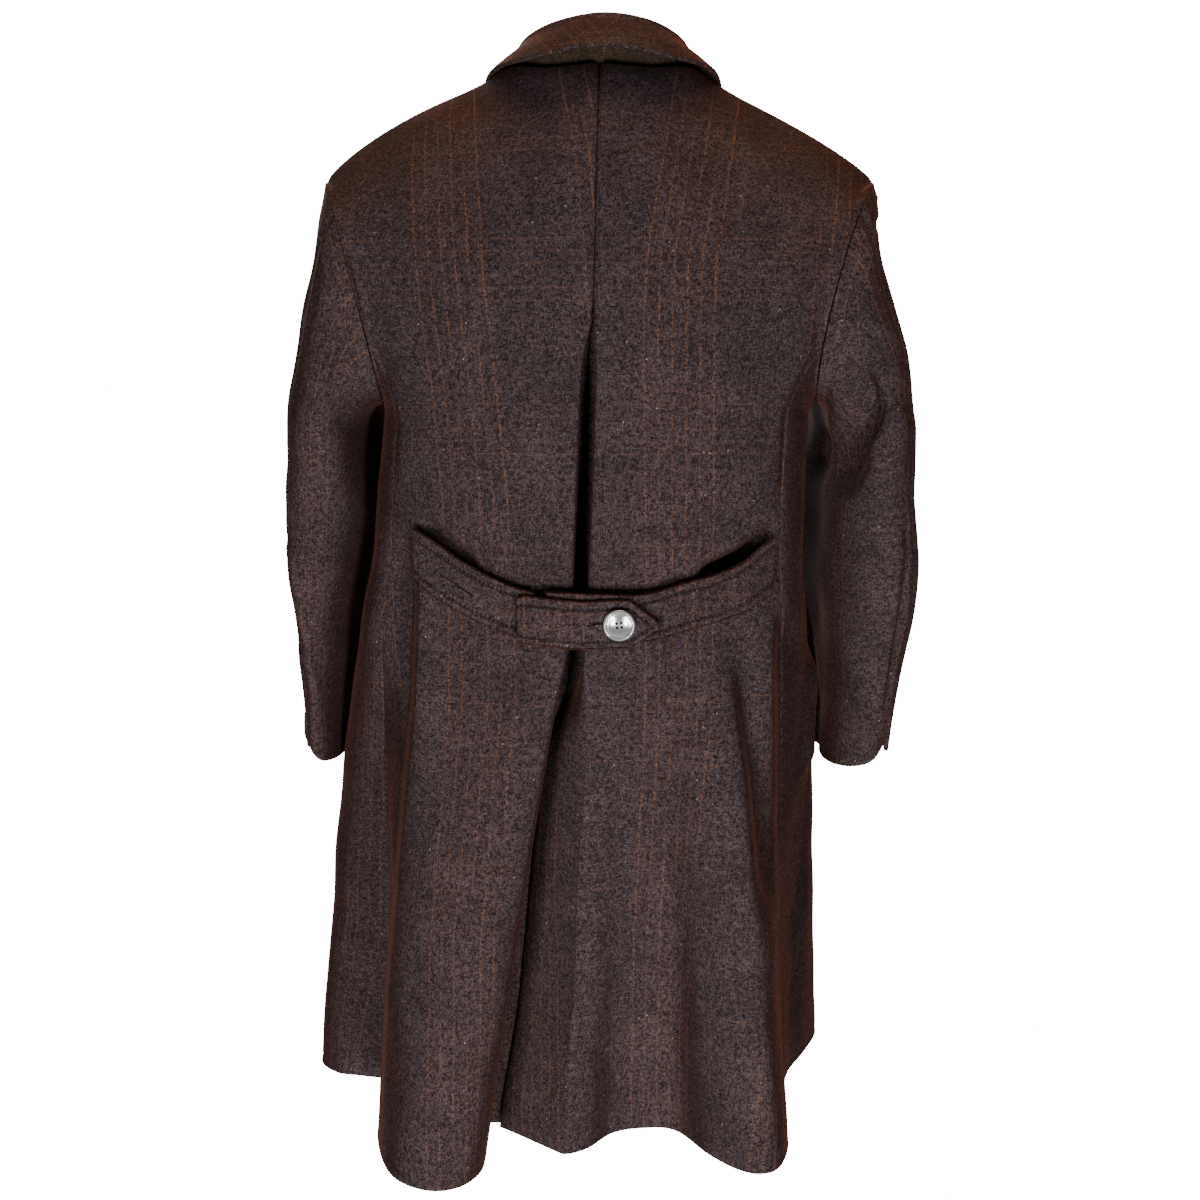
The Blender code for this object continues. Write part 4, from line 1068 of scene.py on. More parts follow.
# %% Fronts
FRONT_RIPPLE = 0.0010
FRONT_LINES = {
    "left": ((-0.075, -0.05), (-0.080, -0.45), (-0.110, -0.95)),
    "right": ((0.060, -0.05), (0.062, -0.45), (0.082, -0.95)),
}
FRONT_CREASES = {
    "left": (
        (0.0030, 0.018, ((-0.010, -0.310), (-0.060, -0.335), (-0.120, -0.390))),
        (0.0026, 0.016, ((-0.008, -0.450), (-0.070, -0.455), (-0.130, -0.440))),
        (-0.0034, 0.022, ((-0.150, -0.200), (-0.130, -0.300), (-0.135, -0.400))),
        (0.0040, 0.022, ((-0.120, -0.560), (-0.135, -0.720), (-0.150, -0.880))),
        (-0.0030, 0.024, ((-0.050, -0.580), (-0.058, -0.760), (-0.070, -0.930))),
    ),
    "right": (
        (0.0026, 0.017, ((0.030, -0.310), (0.080, -0.330), (0.130, -0.370))),
        (-0.0032, 0.022, ((0.150, -0.190), (0.138, -0.290), (0.128, -0.420))),
        (0.0040, 0.022, ((0.110, -0.570), (0.130, -0.730), (0.140, -0.890))),
        (-0.0028, 0.024, ((0.050, -0.600), (0.058, -0.780), (0.066, -0.940))),
    ),
}


def front_points(side, folds, seed):
    """One front, lapped past the middle. The left one lies over the right one."""
    share = np.unique(np.concatenate([
        np.linspace(0, FRONT_NECK_SHARE, 20),
        np.linspace(FRONT_NECK_SHARE, FRONT_TIP_SHARE, 24),
        np.linspace(FRONT_TIP_SHARE, 1, 56),
    ]))
    lap_share = np.linspace(FRONT_LAP_SHARE, 0, 7, endpoint=False)
    every = np.concatenate([lap_share, share])
    top = top_edge(
        every, FRONT_NECK_SHARE, FRONT_TIP_SHARE, FRONT_NECK_Y, FRONT_NECK_Z, SEAM_ON_ARMHOLE - 360, side)
    at_side = np.interp(every, SIDE_SPREAD_SHARES, (0, 1, 1, 0))
    power = SPREAD_POWER + (SIDE_SPREAD_POWER[side] - SPREAD_POWER) * at_side
    points, above = panel_points(folds, every, top, FRONT_FULLNESS, np.zeros_like, power)
    points[:, :len(lap_share)] = mirrored(points[:, :len(lap_share)])
    points = softened(points, above)
    outward = (-1 if side == "left" else 1, 0.3, 0)
    if side == "left":
        whole_share = np.concatenate([np.zeros(len(lap_share)), share])
        raised = (WALL + LAID_GAP) * np.clip(2 - 2 * whole_share / FRONT_NECK_SHARE, 0, 1)
        points = pushed(points, outward, raised)
    room = near_edges(points, 0.05, ("top", "first", "last"))
    points = rippled(points, outward, seed, FRONT_RIPPLE, room)
    points = creased(points, outward, FRONT_CREASES[side], room, facing=1)
    points = raised_neck(stepped_back(points, side))
    return stitched_down(points, outward), above, outward


FRONTS = {}
for side, folds, seed in (("left", FRONT_LEFT_FOLDS, 21), ("right", FRONT_RIGHT_FOLDS, 34)):
    points, above, outward = front_points(side, folds, seed)
    FRONTS[side] = points
    chart = check_map(points, above, FRONT_LINES[side])
    piece = shell("front_%s_cloth" % side, points, chart, hem_thickness(points), outward, [WOOL], FLATTER)
    sew_in(piece, "front_" + side, points)

# %% [markdown]
# ## Sleeves
# Each sleeve is a top and an under sleeve, sewn together at the fore arm and at the hind arm. The hind seam
# stays open above the cuff as a short vent. The sleeve hangs a little forward and folds at the elbow.

# %% Lines and creases of the sleeves
SLEEVE_RINGS = 132
SLEEVE_SIDES = 56
VENT = 0.046
# Which way an edge draws back at the cuff vent, how far, and how high its corner is rounded
VENT_EDGES = {"top": (-1, 0.0020, 0.006), "under": (1, 0.0075, 0.016)}
DRAWN_IN = 0.018
SLEEVE_RIPPLE = 0.0012
SLEEVE_LINES = {"right": 20.0, "left": 70.0}
SLEEVE_CREASES = {
    "right": (
        (0.0170, 0.013, ((0.2290, -0.256), (0.2370, -0.297), (0.2260, -0.345), (0.2150, -0.385))),
        (-0.0080, 0.010, ((0.2120, -0.272), (0.2150, -0.322), (0.2090, -0.360))),
        (0.0040, 0.0035, ((0.2790, -0.400), (0.2790, -0.480), (0.2740, -0.540), (0.2690, -0.590))),
        (-0.0022, 0.0045, ((0.2720, -0.390), (0.2720, -0.480), (0.2670, -0.540), (0.2620, -0.600))),
        (0.0050, 0.014, ((0.2480, -0.225), (0.2340, -0.250), (0.2180, -0.268))),
        (0.0050, 0.016, ((0.2680, -0.270), (0.2480, -0.300), (0.2310, -0.318))),
        (-0.0040, 0.016, ((0.2760, -0.300), (0.2560, -0.335), (0.2380, -0.352))),
        (0.0040, 0.018, ((0.2840, -0.360), (0.2600, -0.392), (0.2340, -0.408))),
        (-0.0030, 0.020, ((0.2860, -0.420), (0.2600, -0.450), (0.2300, -0.462))),
        (-0.0050, 0.012, ((0.2520, -0.099), (0.2575, -0.113))),
        (0.0035, 0.014, ((0.2590, -0.128), (0.2620, -0.142))),
    ),
    "left": (
        (0.0055, 0.0040, ((-0.2930, -0.400), (-0.2880, -0.450), (-0.2800, -0.525), (-0.2760, -0.590))),
        (-0.0045, 0.0060, ((-0.2850, -0.390), (-0.2800, -0.450), (-0.2720, -0.525), (-0.2680, -0.590))),
        (0.0040, 0.014, ((-0.2220, -0.235), (-0.2330, -0.275), (-0.2300, -0.330))),
        (-0.0030, 0.016, ((-0.2500, -0.260), (-0.2440, -0.330), (-0.2400, -0.400))),
        (0.0030, 0.018, ((-0.2800, -0.330), (-0.2600, -0.380), (-0.2360, -0.410))),
        (-0.0030, 0.020, ((-0.2820, -0.420), (-0.2600, -0.450), (-0.2400, -0.470))),
        (0.0025, 0.018, ((-0.2780, -0.500), (-0.2620, -0.540), (-0.2520, -0.570))),
    ),
}
FORE_CREASES = (
    (0.0060, 0.016, ((0.218, -0.370), (0.240, -0.385), (0.270, -0.378))),
    (0.0045, 0.015, ((0.222, -0.410), (0.245, -0.418), (0.275, -0.405))),
    (-0.0030, 0.020, ((0.240, -0.200), (0.255, -0.270), (0.262, -0.330))),
    (0.0030, 0.018, ((0.240, -0.500), (0.255, -0.540), (0.262, -0.580))),
)
print("creases in a sleeve: %d or more" % (len(SLEEVE_CREASES["left"]) + len(FORE_CREASES)))


# %% Sleeves
def sleeve_tube(side, angle, along):
    """Points round a sleeve: 0 outside, 90 at the back, 180 inside. along runs from armhole to cuff."""
    table = SLEEVES[side]
    stations = np.arange(len(table))
    outer_x, outer_z, inner_x, inner_z, fore, half_depth, lean = (
        through(stations, column(table, SLEEVE_COLUMNS, name), along)[:, None] for name in SLEEVE_COLUMNS
    )
    a = np.radians(angle)[None]
    toe = np.radians(SLEEVE_TOE_IN) * np.minimum(along / TOE_IN_RING, 1)[:, None]
    out = np.cos(a)
    back = np.sin(a) * half_depth
    scooped = np.maximum(1 - along / SCOOP_RINGS, 0)[:, None] ** 2
    inwards = lean * np.minimum(np.sin(a), 0) ** 2 + scoop(angle, side)[None] * scooped
    return xyz(
        (outer_x + inner_x) / 2 + (outer_x - inner_x) / 2 * out + back * np.sin(toe) - inwards,
        fore - back * np.cos(toe),
        (outer_z + inner_z) / 2 + (outer_z - inner_z) / 2 * out)


def sleeve_map(points, angle, from_angle):
    """The sleeve's map: how far round it lies from a line that runs straight down it, and how far down it."""
    down = run_length(points, 0).mean(1, keepdims=True)
    round_it = run_length(points, 1)[:, -1].mean()
    across = (angle[None] - from_angle) / 360 * round_it
    return np.stack(np.broadcast_arrays(across, down), -1)


def drawn_in(points):
    """Lets the front of the right sleeve lie close before the side of the coat, as a bent arm draws it."""
    x, y, z = np.moveaxis(points, -1, 0)
    inwards = DRAWN_IN * eased((y - 0.092) / 0.026) * eased((0.264 - x) / 0.032)
    inwards = inwards * eased((-0.455 - z) / 0.05) * eased((z + 0.668) / 0.02)
    return points - inwards[..., None] * np.array([1, 0, 0])


def cuff_vent(points, column_place, sign, opening, corner_height):
    """Opens one edge of a sleeve piece above the cuff: it draws back, and its corner is rounded."""
    up = run_length(points, 0)[-1:] - run_length(points, 0)
    away = np.abs(run_length(points, 1) - run_length(points, 1)[:, column_place:][:, :1])
    open_here = eased((1.3 - up / VENT) * 2) * bell(away, 0.008)
    across = np.gradient(points, axis=1)
    across /= np.linalg.norm(across, axis=-1, keepdims=True)
    corner = eased(1 - up / (2 * corner_height)) * bell(away, corner_height)
    points = points + across * (sign * opening * open_here)[..., None]
    points[..., 2] += corner_height * corner
    return points


for side, seed in (("left", 5), ("right", 13)):
    sign = 1 if side == "right" else -1
    along = np.linspace(0, len(SLEEVES[side]) - 1, SLEEVE_RINGS)
    angle = np.concatenate([
        np.linspace(FORE_SEAM - 360, HIND_SEAM, SLEEVE_SIDES),
        np.linspace(HIND_SEAM, FORE_SEAM, SLEEVE_SIDES)[1:],
    ])
    tube = sleeve_tube(side, angle, along)
    tube = tube if side == "right" else mirrored(tube)
    middle_angle = math.radians(angle[len(angle) // 2])
    outward = np.array([sign * math.cos(middle_angle), -math.sin(middle_angle), 0])
    room = eased(run_length(tube, 0) / 0.03)
    chart = sleeve_map(tube, angle, SLEEVE_LINES[side])
    tube = rippled(tube, outward, seed, SLEEVE_RIPPLE, room)
    tube = creased(tube, outward, SLEEVE_CREASES[side], room)
    fore = [(depth, width, [(sign * x, z) for x, z in path]) for depth, width, path in FORE_CREASES]
    tube = creased(tube, outward, fore, room, facing=1)
    if side == "right":
        tube = drawn_in(tube)
    for name, first, last, hind_column in (
        ("top", 0, SLEEVE_SIDES, SLEEVE_SIDES - 1), ("under", SLEEVE_SIDES - 1, 2 * SLEEVE_SIDES - 1, 0)
    ):
        facing = grid_normals(tube, outward)[SLEEVE_RINGS // 2, (first + last) // 2]
        points = seam_pulled_in(tube[:, first:last], hind_column, facing)
        points = cuff_vent(points, hind_column, *VENT_EDGES[name])
        down = run_length(points, 0)
        thick = turned_up(down[-1:] - down, CUFF_TURN_UP)
        node = "sleeve_%s_%s" % (side, name)
        piece = shell(node + "_cloth", points, chart[:, first:last], thick, facing, [WOOL], FLATTER)
        sew_in(piece, node, points)

# %% [markdown]
# ## Collar
# The collar is one folded piece. Its stand rises from the neck seam, rolls over and falls outside. It is cut
# in two halves on the slant, so that the check meets in a chevron at the centre back. The underside is felt.

# %% Collar
COLLAR_STATIONS = 161
COLLAR_SECTION = 43
COLLAR_SLANT = 0.45
CHEVRON_LEFT, CHEVRON_RIGHT, CHEVRON_UP = 0.067, 0.045, 0.075
COLLAR_FACING = (0, -0.5, 0.5)
COLLAR_RIPPLE = 0.0006
COLLAR_TURNED_IN = 0.009
COLLAR_LIFT = 0.0008
COLLAR_EDGE = 0.0004


def neck_seam(place):
    """The neck seam: 0 at the centre back, 1 at the neck point, 2 at the front."""
    back = neck(np.clip(place, 0, 1), BACK_NECK_Y, 0.0)
    front = neck(np.clip(2 - place, 0, 1), FRONT_NECK_Y, FRONT_NECK_Z)
    return np.where(place[:, None] <= 1, back, front)


def collar_line(line, place):
    right = np.stack([column(COLLAR, COLLAR_COLUMNS, "%s_%s" % (line, axis)) for axis in "xyz"], -1)
    both = np.concatenate([mirrored(right[:0:-1]), right])
    return through(np.linspace(-2, 2, len(both)), both, place)


place = np.linspace(0, 2, COLLAR_STATIONS // 2 + 1)
fold = collar_line("fold", place)
edge = collar_line("edge", place)
seam = neck_seam(np.minimum(place, 1) + np.clip(place - 1, 0, 1) * (1 - COLLAR_END))
seam[:, 2] += COLLAR_LIFT + COLLAR_OVER_LAP * np.clip(place - 1, 0, 1)
out = edge - seam
out[:, 2] = 0
out /= np.linalg.norm(out, axis=1, keepdims=True)
down = np.array([0, 0, -COLLAR_FOLD_RADIUS])
rolled_in = fold - out * COLLAR_FOLD_RADIUS + down
rolled_out = fold + out * COLLAR_FOLD_RADIUS + down
sewn_in = seam - out * 2 * COLLAR_WALL - np.array([0, 0, COLLAR_TURNED_IN])
section = np.stack([
    sewn_in,
    (sewn_in + rolled_in) / 2,
    rolled_in,
    fold,
    rolled_out,
    (rolled_out + edge) / 2 + out * COLLAR_BELLY,
    edge,
])
right = np.moveaxis(through((0, 1, 2, 2.5, 3, 4, 5), section, np.linspace(0, 5, COLLAR_SECTION)), 0, 1)
points = np.concatenate([mirrored(right[:0:-1]), right])
leaning = eased((np.arange(COLLAR_SECTION) - COLLAR_SECTION * 0.2) / (COLLAR_SECTION * 0.2))
points[..., 0] += COLLAR_LEAN * leaning
points = relaxed(points, 4, 0, np.zeros(points.shape[:2]))
points = rippled(points, COLLAR_FACING, 40, COLLAR_RIPPLE, near_edges(points, 0.03, ("first",)))
fold_column = int(COLLAR_SECTION * 0.5)
from_fold = run_length(points, 1)
from_fold = from_fold - from_fold[:, fold_column:fold_column + 1]
centre = COLLAR_STATIONS // 2
round_neck = run_length(points, 0)[:, fold_column:fold_column + 1]
round_neck = np.broadcast_to(round_neck - round_neck[centre], from_fold.shape)
slanted = COLLAR_SLANT * from_fold
chevron = round_neck + np.where(round_neck < 0, CHEVRON_LEFT - slanted, CHEVRON_RIGHT + slanted)
chart = np.stack([chevron, from_fold + CHEVRON_UP], -1)
thick = COLLAR_WALL + COLLAR_EDGE * eased((np.arange(COLLAR_SECTION) - COLLAR_SECTION * 0.62) / 8)
piece = shell("collar_cloth", points, chart, thick[None], COLLAR_FACING, [WOOL, FELT])
sew_in(piece, "collar", points)

# %% [markdown]
# ## Half belt
# Two strips come from the side seams and meet under a pointed tab, which is buttoned to the right strip. Each
# is two layers of cloth, turned and pressed, with a row of stitching a centimetre inside its edges. The thread
# pulls the cloth in, so the rows show as grooves.

# %% Half belt
STRIP_STEPS = 150
STRAP_COLUMNS = 57
STITCH_INSET = 0.0078
GROOVE_DEPTH = 0.0020
GROOVE_WIDTH = 0.0014
STITCH_PITCH = 0.0042
PUCKER = 0.45
STRAP_CROWN = 0.0005
STRAP_RIPPLE = 0.0005


def belt_points(line, x, half_width, stand_off, across):
    """Points of a strap along its line. across runs from -1 at its lower edge to 1."""
    stations, heights = np.array(BELT_LINES[line]).T
    step = 0.001
    rise = (through(stations, heights, x + step) - through(stations, heights, x - step)) / (2 * step)
    upright = (half_width * np.sqrt(1 + rise**2))[:, None]
    z = through(stations, heights, x)[:, None] + upright * across
    x = x[:, None]
    slope = (back_depth(x + step, z) - back_depth(x - step, z)) / (2 * step)
    out = xyz(slope, -1, 0)
    out /= np.linalg.norm(out, axis=-1, keepdims=True)
    off = stand_off[:, None] + BELT_WALL + BELT_LEAN * (across + 1) / 2
    return xyz(x, back_depth(x, z), z) + out * off[..., None]


def grooved(points, half_width, across):
    """Two stitched grooves along a strap, a little deeper at every stitch."""
    from_edge = half_width[:, None] * (1 - np.abs(across))
    along = run_length(points, 0)
    puckers = 1 + PUCKER * np.sin(2 * math.pi * along / STITCH_PITCH)
    groove = GROOVE_DEPTH * puckers * bell(from_edge - STITCH_INSET, GROOVE_WIDTH)
    return pushed(points, BACKWARDS, STRAP_CROWN * (1 - across**2) - groove)


STRAPS = {}
ACROSS = np.linspace(-1, 1, STRAP_COLUMNS)[None]


def make_strap(name, x, half_width, stand_off, chart_from, chart_scale, seed):
    points = belt_points(name[5:], x, half_width, stand_off, ACROSS)
    STRAPS[name] = (x, half_width, stand_off)
    room = near_edges(points, 0.012, ("bottom", "top"))
    points = rippled(points, BACKWARDS, seed, STRAP_RIPPLE, room)
    points = grooved(points, half_width, ACROSS)
    chart = np.stack([(points[..., 0] - chart_from) * chart_scale, points[..., 2] * 0.9 - 0.05], -1)
    piece = shell(name + "_cloth", points, chart, BELT_WALL, BACKWARDS, [WOOL])
    return piece, points


strip_off = BELT_SEWN_OFF + BELT_STAND_OFF * np.sqrt(np.linspace(0, 1, STRIP_STEPS))
strip_half = np.full(STRIP_STEPS, BELT_HALF_WIDTH)
for name, ends, chart_from, seed in (
    ("belt_left", LEFT_STRIP, -0.24, 51), ("belt_right", RIGHT_STRIP, -0.08, 52)
):
    x = np.linspace(*ends, STRIP_STEPS)
    piece, points = make_strap(name, x, strip_half, strip_off, chart_from, 1.0, seed)
    sew_in(piece, name, points)

x = np.unique(np.concatenate([
    np.linspace(TAB[0], TAB[0] + TAB_CORNER, 14), np.linspace(TAB[0] + TAB_CORNER, TAB[1], 110)
]))
corner = np.clip((x - TAB[0]) / TAB_CORNER, 0, 1)
point_share = np.clip((TAB[1] - x) / TAB_POINT_LENGTH, 0, 1)
rounded = TAB_END_SHARE + (1 - TAB_END_SHARE) * np.sqrt(1 - (1 - corner) ** 2)
pointed = TAB_TIP_SHARE + (1 - TAB_TIP_SHARE) * point_share
tab_half = TAB_HALF_WIDTH * np.minimum(rounded, pointed)
tab_off = np.full(len(x), BELT_SEWN_OFF + BELT_STAND_OFF + BELT_WALL + LAID_GAP)
piece, TAB_POINTS = make_strap("belt_tab", x, tab_half, tab_off, -0.0655, 1.18, 53)
sew_in(piece, "belt_tab", TAB_POINTS)

# %% [markdown]
# ## Stitches
# A row of stitches is one small capsule of thread, repeated along a line. Geometry Nodes does the repeating:
# the line is divided at the stitch length, and a capsule is set on each point, turned along the line.

# %% Stitches
stitch_nodes = bpy.data.node_groups.new("stitch_row", "GeometryNodeTree")
for label, way, kind in (
    ("Lines", "INPUT", "Geometry"), ("Pitch", "INPUT", "Float"), ("Size", "INPUT", "Vector"),
    ("Thread", "INPUT", "Material"), ("Stitches", "OUTPUT", "Geometry"),
):
    stitch_nodes.interface.new_socket(label, in_out=way, socket_type="NodeSocket" + kind)
start = stitch_nodes.nodes.new("NodeGroupInput")
end = stitch_nodes.nodes.new("NodeGroupOutput")
curve = add_node(stitch_nodes, "GeometryNodeMeshToCurve", {0: start.outputs["Lines"]})
divided = add_node(
    stitch_nodes, "GeometryNodeResampleCurve",
    {"Curve": curve.outputs[0], "Length": start.outputs["Pitch"]}, mode="LENGTH")
ball = add_node(stitch_nodes, "GeometryNodeMeshUVSphere", {"Segments": 8, "Rings": 5, "Radius": 1.0})
tangent = add_node(stitch_nodes, "GeometryNodeInputTangent")
turned = add_node(
    stitch_nodes, "FunctionNodeAlignRotationToVector", {"Vector": tangent.outputs[0]}, axis="Z")
placed = add_node(
    stitch_nodes, "GeometryNodeInstanceOnPoints",
    {"Points": divided.outputs[0], "Instance": ball.outputs[0], "Rotation": turned.outputs[0],
     "Scale": start.outputs["Size"]})
real = add_node(stitch_nodes, "GeometryNodeRealizeInstances", {0: placed.outputs[0]})
dyed = add_node(
    stitch_nodes, "GeometryNodeSetMaterial", {"Geometry": real.outputs[0], "Material": start.outputs["Thread"]})
stitch_nodes.links.new(dyed.outputs[0], end.inputs[0])
print("stitch row:", len(stitch_nodes.nodes), "nodes")


# %% Stitched rows
def sewn_rows(name, lines, pitch, size):
    """Stitches along lines of points, as one mesh."""
    vertices, edges = [], []
    for line in lines:
        first = len(vertices)
        vertices += [tuple(p) for p in line]
        edges += [(first + i, first + i + 1) for i in range(len(line) - 1)]
    mesh = bpy.data.meshes.new(name + "_lines")
    mesh.from_pydata(vertices, edges, [])
    piece = add_object(name, mesh)
    rows = piece.modifiers.new("stitches", "NODES")
    rows.node_group = stitch_nodes
    values = {"Pitch": pitch, "Size": size, "Thread": DARK_THREAD_AND_PAINTED_SHADE}
    for socket in stitch_nodes.interface.items_tree:
        if socket.name in values:
            rows[socket.identifier] = values[socket.name]
    ready = piece.evaluated_get(bpy.context.evaluated_depsgraph_get())
    made = bpy.data.meshes.new_from_object(ready)
    piece.modifiers.clear()
    piece.data = made
    made.shade_smooth()
    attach(piece, "root")
    print("%s: %d faces of thread" % (name, len(made.polygons)))


def strap_rows(name):
    """The two stitched rows of a strap, sunk in its grooves."""
    x, half_width, stand_off = STRAPS[name]
    keep = half_width > STITCH_INSET + 0.003
    rows = []
    for side in (-1, 1):
        across = side * (1 - STITCH_INSET / half_width[keep])[:, None]
        sunk = stand_off[keep] - GROOVE_DEPTH * 0.8
        rows.append(belt_points(name[5:], x[keep], half_width[keep], sunk, across)[:, 0])
    return rows


HOLE_PROUD = 0.0006
BUTTONHOLES = {
    "belt_left": (((-0.1361, -0.4412), (-0.1250, -0.4470)), ((-0.1222, -0.4492), (-0.1092, -0.4571))),
    "belt_tab": (((-0.0104, -0.4816), (0.0026, -0.4795)),),
}


def hole_row(name, ends):
    """Points along a worked buttonhole on a strap, from its two ends as x and z."""
    stations, half_width, stand_off = STRAPS[name]
    order = np.argsort(stations)
    lengthwise, heights = np.array(BELT_LINES[name[5:]]).T
    row = []
    for w in np.linspace(0, 1, 8):
        x, z = (1 - w) * np.array(ends[0]) + w * np.array(ends[1])
        half = np.interp(x, stations[order], half_width[order])
        off = np.interp(x, stations[order], stand_off[order])
        across = (z - through(lengthwise, heights, np.array([x]))[0]) / half
        x, half, off = (np.array([value]) for value in (x, half, off + HOLE_PROUD))
        row.append(belt_points(name[5:], x, half, off, across)[0, 0])
    return row


# The near-black buttonhole stitches also serve as painted shade of the slits.
hole_rows = [hole_row(name, ends) for name, holes in BUTTONHOLES.items() for ends in holes]
sewn_rows("buttonhole_stitches", hole_rows, 0.0007, (0.00075, 0.00075, 0.0009))
# A dark line of stitches along the centre seam, partly painted shade of the seam.
seam_edge = BACKS["left"][:, TURN_STEPS]
seam_edge = seam_edge[(seam_edge[:, 2] > PLEAT_TOP_Z + 0.004) & (seam_edge[:, 2] < -0.004)]
sewn_rows("centre_seam_stitches", [seam_edge - np.array([0, 0.0004, 0])], 0.0022, (0.00050, 0.00050, 0.0014))
belt_rows = [row for name in STRAPS for row in strap_rows(name)]
sewn_rows("belt_stitches", belt_rows, STITCH_PITCH, (0.00028, 0.00028, 0.0016))

# %% [markdown]
# ## Buttons
# The buttons are turned from a pearly grey plastic: a rounded rim, a dished middle and four small holes. The
# profile is swept round, and the holes are cut with a Boolean.

# %% Pearl
pearl, tree, shader = new_material("pearl")
coords = add_node(tree, "ShaderNodeTexCoord")
# The pale patches of the swirl are partly the plastic's own pearl and partly painted highlights, where the
# lamps would be reflected.
pearl_swirl_and_painted_glints = noise(tree, stretched(tree, coords.outputs["Object"], (60.0, 60.0, 150.0)), 1.0, 4.0, 0.55)
tone = mixed(tree, ramped(tree, pearl_swirl_and_painted_glints, 0.34, 0.68), (0.36, 0.37, 0.37, 1), (0.74, 0.75, 0.74, 1))
set_inputs(tree, shader, {
    "Base Color": tone, "Metallic": 0.45, "Roughness": 0.16, "Coat Weight": 1.0, "Coat Roughness": 0.03,
})
print("button material:", pearl.name)

# %% Button shape
BUTTON_PROFILE = (
    (0.00, 0.46), (0.10, 0.466), (0.20, 0.484), (0.30, 0.518), (0.40, 0.565), (0.50, 0.628), (0.60, 0.705),
    (0.68, 0.780), (0.73, 0.815), (0.77, 0.82), (0.80, 0.90), (0.84, 0.97), (0.88, 1.00), (0.92, 0.97),
    (0.97, 0.84), (1.00, 0.66), (0.99, 0.48), (0.93, 0.26), (0.82, 0.06),
    (0.70, 0.00), (0.00, 0.00),
)
BUTTON_STEPS = 72
HOLE_RADIUS = 0.00115
HOLE_PLACE = 0.0020


def swept(profile, steps):
    """A closed mesh from a profile of radius and height that starts and ends on the axis."""
    ring_rows = np.array(profile[1:-1])
    a = np.linspace(0, 2 * math.pi, steps, endpoint=False)
    rings = xyz(ring_rows[:, :1] * np.cos(a), ring_rows[:, :1] * np.sin(a), ring_rows[:, 1:]).reshape(-1, 3)
    vertices = np.concatenate([rings, [(0, 0, profile[0][1]), (0, 0, profile[-1][1])]])
    number = np.arange(len(rings)).reshape(-1, steps)
    after = np.roll(number, -1, 1)
    faces = np.stack([number[:-1], number[1:], after[1:], after[:-1]], -1).reshape(-1, 4).tolist()
    faces += [[len(rings), number[0, i], after[0, i]] for i in range(steps)]
    faces += [[len(rings) + 1, after[-1, i], number[-1, i]] for i in range(steps)]
    return vertices, faces


def new_object(name, vertices, faces, material):
    mesh = bpy.data.meshes.new(name)
    mesh.from_pydata(np.asarray(vertices).tolist(), [], faces)
    mesh.materials.append(material)
    mesh.shade_smooth()
    return add_object(name, mesh)


def button_mesh():
    vertices, faces = swept([(r * BUTTON_RADIUS, h * BUTTON_DEPTH) for r, h in BUTTON_PROFILE], BUTTON_STEPS)
    button = new_object("button", vertices, faces, pearl)
    pin = [(0, 0.01), (HOLE_RADIUS, 0.01), (HOLE_RADIUS, -0.005), (0, -0.005)]
    pin_vertices, pin_faces = swept(pin, 16)
    all_vertices, all_faces = [], []
    for x in (-HOLE_PLACE, HOLE_PLACE):
        for y in (-HOLE_PLACE, HOLE_PLACE):
            first = len(all_vertices) * len(pin_vertices)
            all_faces += [[first + v for v in face] for face in pin_faces]
            all_vertices.append(pin_vertices + np.array([x, y, 0]))
    cutter = new_object("holes", np.concatenate(all_vertices), all_faces, pearl)
    cut = button.modifiers.new("holes", "BOOLEAN")
    cut.object = cutter
    cut.solver = "EXACT"
    made = bpy.data.meshes.new_from_object(button.evaluated_get(bpy.context.evaluated_depsgraph_get()))
    bpy.data.objects.remove(button)
    bpy.data.objects.remove(cutter)
    return made


BUTTON = button_mesh()
BUTTON.set_sharp_from_angle(angle=math.radians(50))
print("button: %d faces" % len(BUTTON.polygons))


# %% Buttons
def sew_button(node, place, facing, spin):
    """A button on the cloth, its threads showing in the four holes."""
    turn = Vector(facing).to_track_quat("Z", "Y").to_matrix().to_4x4()
    moved = Matrix.Translation(Vector(place) + Vector(facing) * LAID_GAP)
    matrix = moved @ turn @ Matrix.Rotation(spin, 4, "Z")
    mesh = BUTTON.copy()
    mesh.transform(matrix)
    piece = add_object(node + "_turned", mesh)
    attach(piece, "root")
    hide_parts(node)
    threads = []
    for x in (-HOLE_PLACE, HOLE_PLACE):
        bar = [(x, y, 0.0012) for y in np.linspace(-1.25, 1.25, 5) * HOLE_PLACE]
        threads.append([matrix @ Vector(p) for p in bar])
    sewn_rows(node + "_thread", threads, 0.0004, (0.0006, 0.0006, 0.0006))


tab_y = float(np.interp(BELT_BUTTON_X, TAB_POINTS[:, 0, 0], TAB_POINTS[..., 1].min(axis=1)))
sew_button("belt_button", (BELT_BUTTON_X, tab_y, BELT_BUTTON_Z), BACKWARDS, math.radians(8))
middle = int(np.argmin(np.abs(FRONTS["left"][0, :, 0])))
front_z = FRONTS["left"][:, middle, 2]
front_y = FRONTS["left"][:, middle, 1]
for number, height in enumerate(FRONT_BUTTON_ZS, 1):
    above_y, below_y = (float(np.interp(height + off, front_z, front_y)) for off in (0.01, -0.01))
    facing = Vector((0, 0.02, below_y - above_y)).normalized()
    at = (0, float(np.interp(height, front_z, front_y)), height)
    sew_button("front_button_%d" % number, at, facing, math.radians(11 * number))

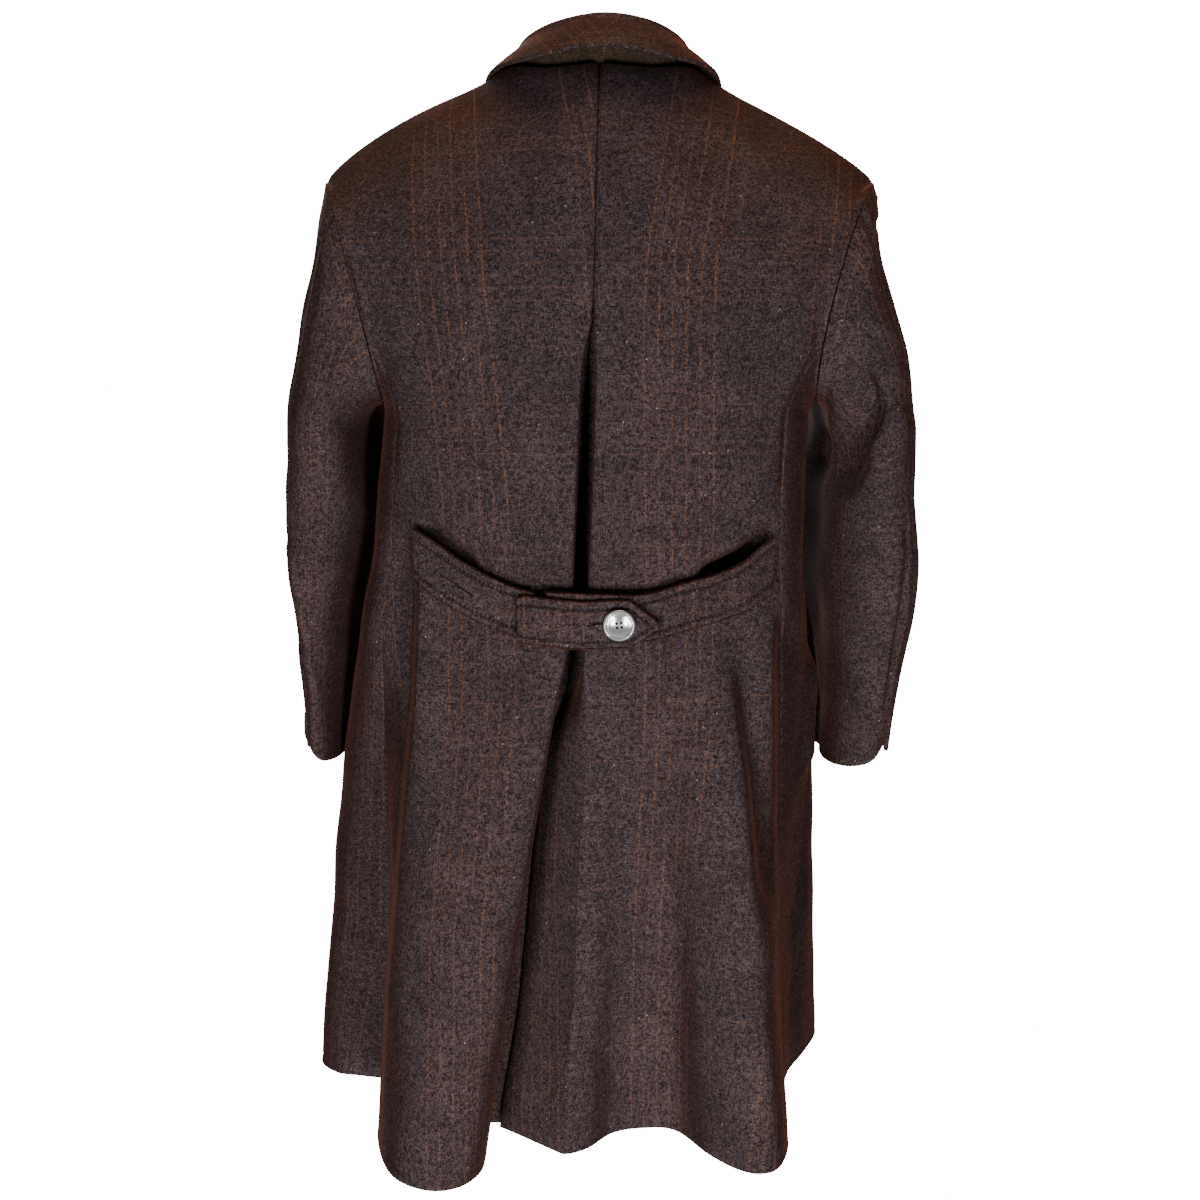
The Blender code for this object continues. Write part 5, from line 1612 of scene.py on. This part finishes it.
# %% [markdown]
# ## Room
# A pale floor below the hem, and a white room. Two soft lamps stand low behind the camera, to its left and
# right, so the skirt is lighter than the shoulders and little light falls into the pleat. A warm lamp above
# tints the shoulders and the collar, and a broad one on the far side lights the front for other views.

# %% Room
FLOOR_Z = -1.45
FLOOR_RADIUS = 0.62
FLOOR_SIDES = 96
LIGHT_STRENGTH, SEEN_STRENGTH = 0.07, 16.0

turns = np.linspace(0, 2 * math.pi, FLOOR_SIDES, endpoint=False)
rim = xyz(FLOOR_RADIUS * np.cos(turns), FLOOR_RADIUS * np.sin(turns), FLOOR_Z)
paint, tree, shader = new_material("floor")
set_inputs(tree, shader, {"Base Color": (0.86, 0.86, 0.86, 1), "Roughness": 0.8})
floor = new_object("floor", rim, [list(range(FLOOR_SIDES))], paint)

world = bpy.data.worlds.new("room")
world.use_nodes = True
bpy.context.scene.world = world
tree = world.node_tree
sky = tree.nodes["Background"]
rays = add_node(tree, "ShaderNodeLightPath")
sky.inputs["Color"].default_value = (1, 1, 1, 1)
glow = ramped(tree, rays.outputs["Is Camera Ray"], 0.0, 1.0, LIGHT_STRENGTH, SEEN_STRENGTH)
tree.links.new(glow, sky.inputs["Strength"])


def lamp(name, place, aim, size, watts, colour=(1, 1, 1)):
    light = bpy.data.lights.new(name, "AREA")
    light.shape = "RECTANGLE"
    light.size, light.size_y = size
    light.energy = watts
    light.color = colour
    made = add_object(name, light)
    made.location = place
    made.rotation_mode = "QUATERNION"
    made.rotation_quaternion = (Vector(aim) - Vector(place)).to_track_quat("-Z", "Y")
    made.visible_camera = False


WARM = (1.0, 0.66, 0.42)
for name, side, watts in (("right", 1, 43), ("left", -1, 51)):
    lamp(name, (side * 0.82, -2.40, -1.45), (0, 0, -0.62), (0.5, 1.0), watts)
lamp("above", (0.1, 0.2, 1.7), (0, 0, -0.1), (1.8, 1.0), 42, WARM)
lamp("fill", (-1.0, 2.6, 0.6), (0, 0, -0.4), (2.0, 2.0), 62)
print("lit")
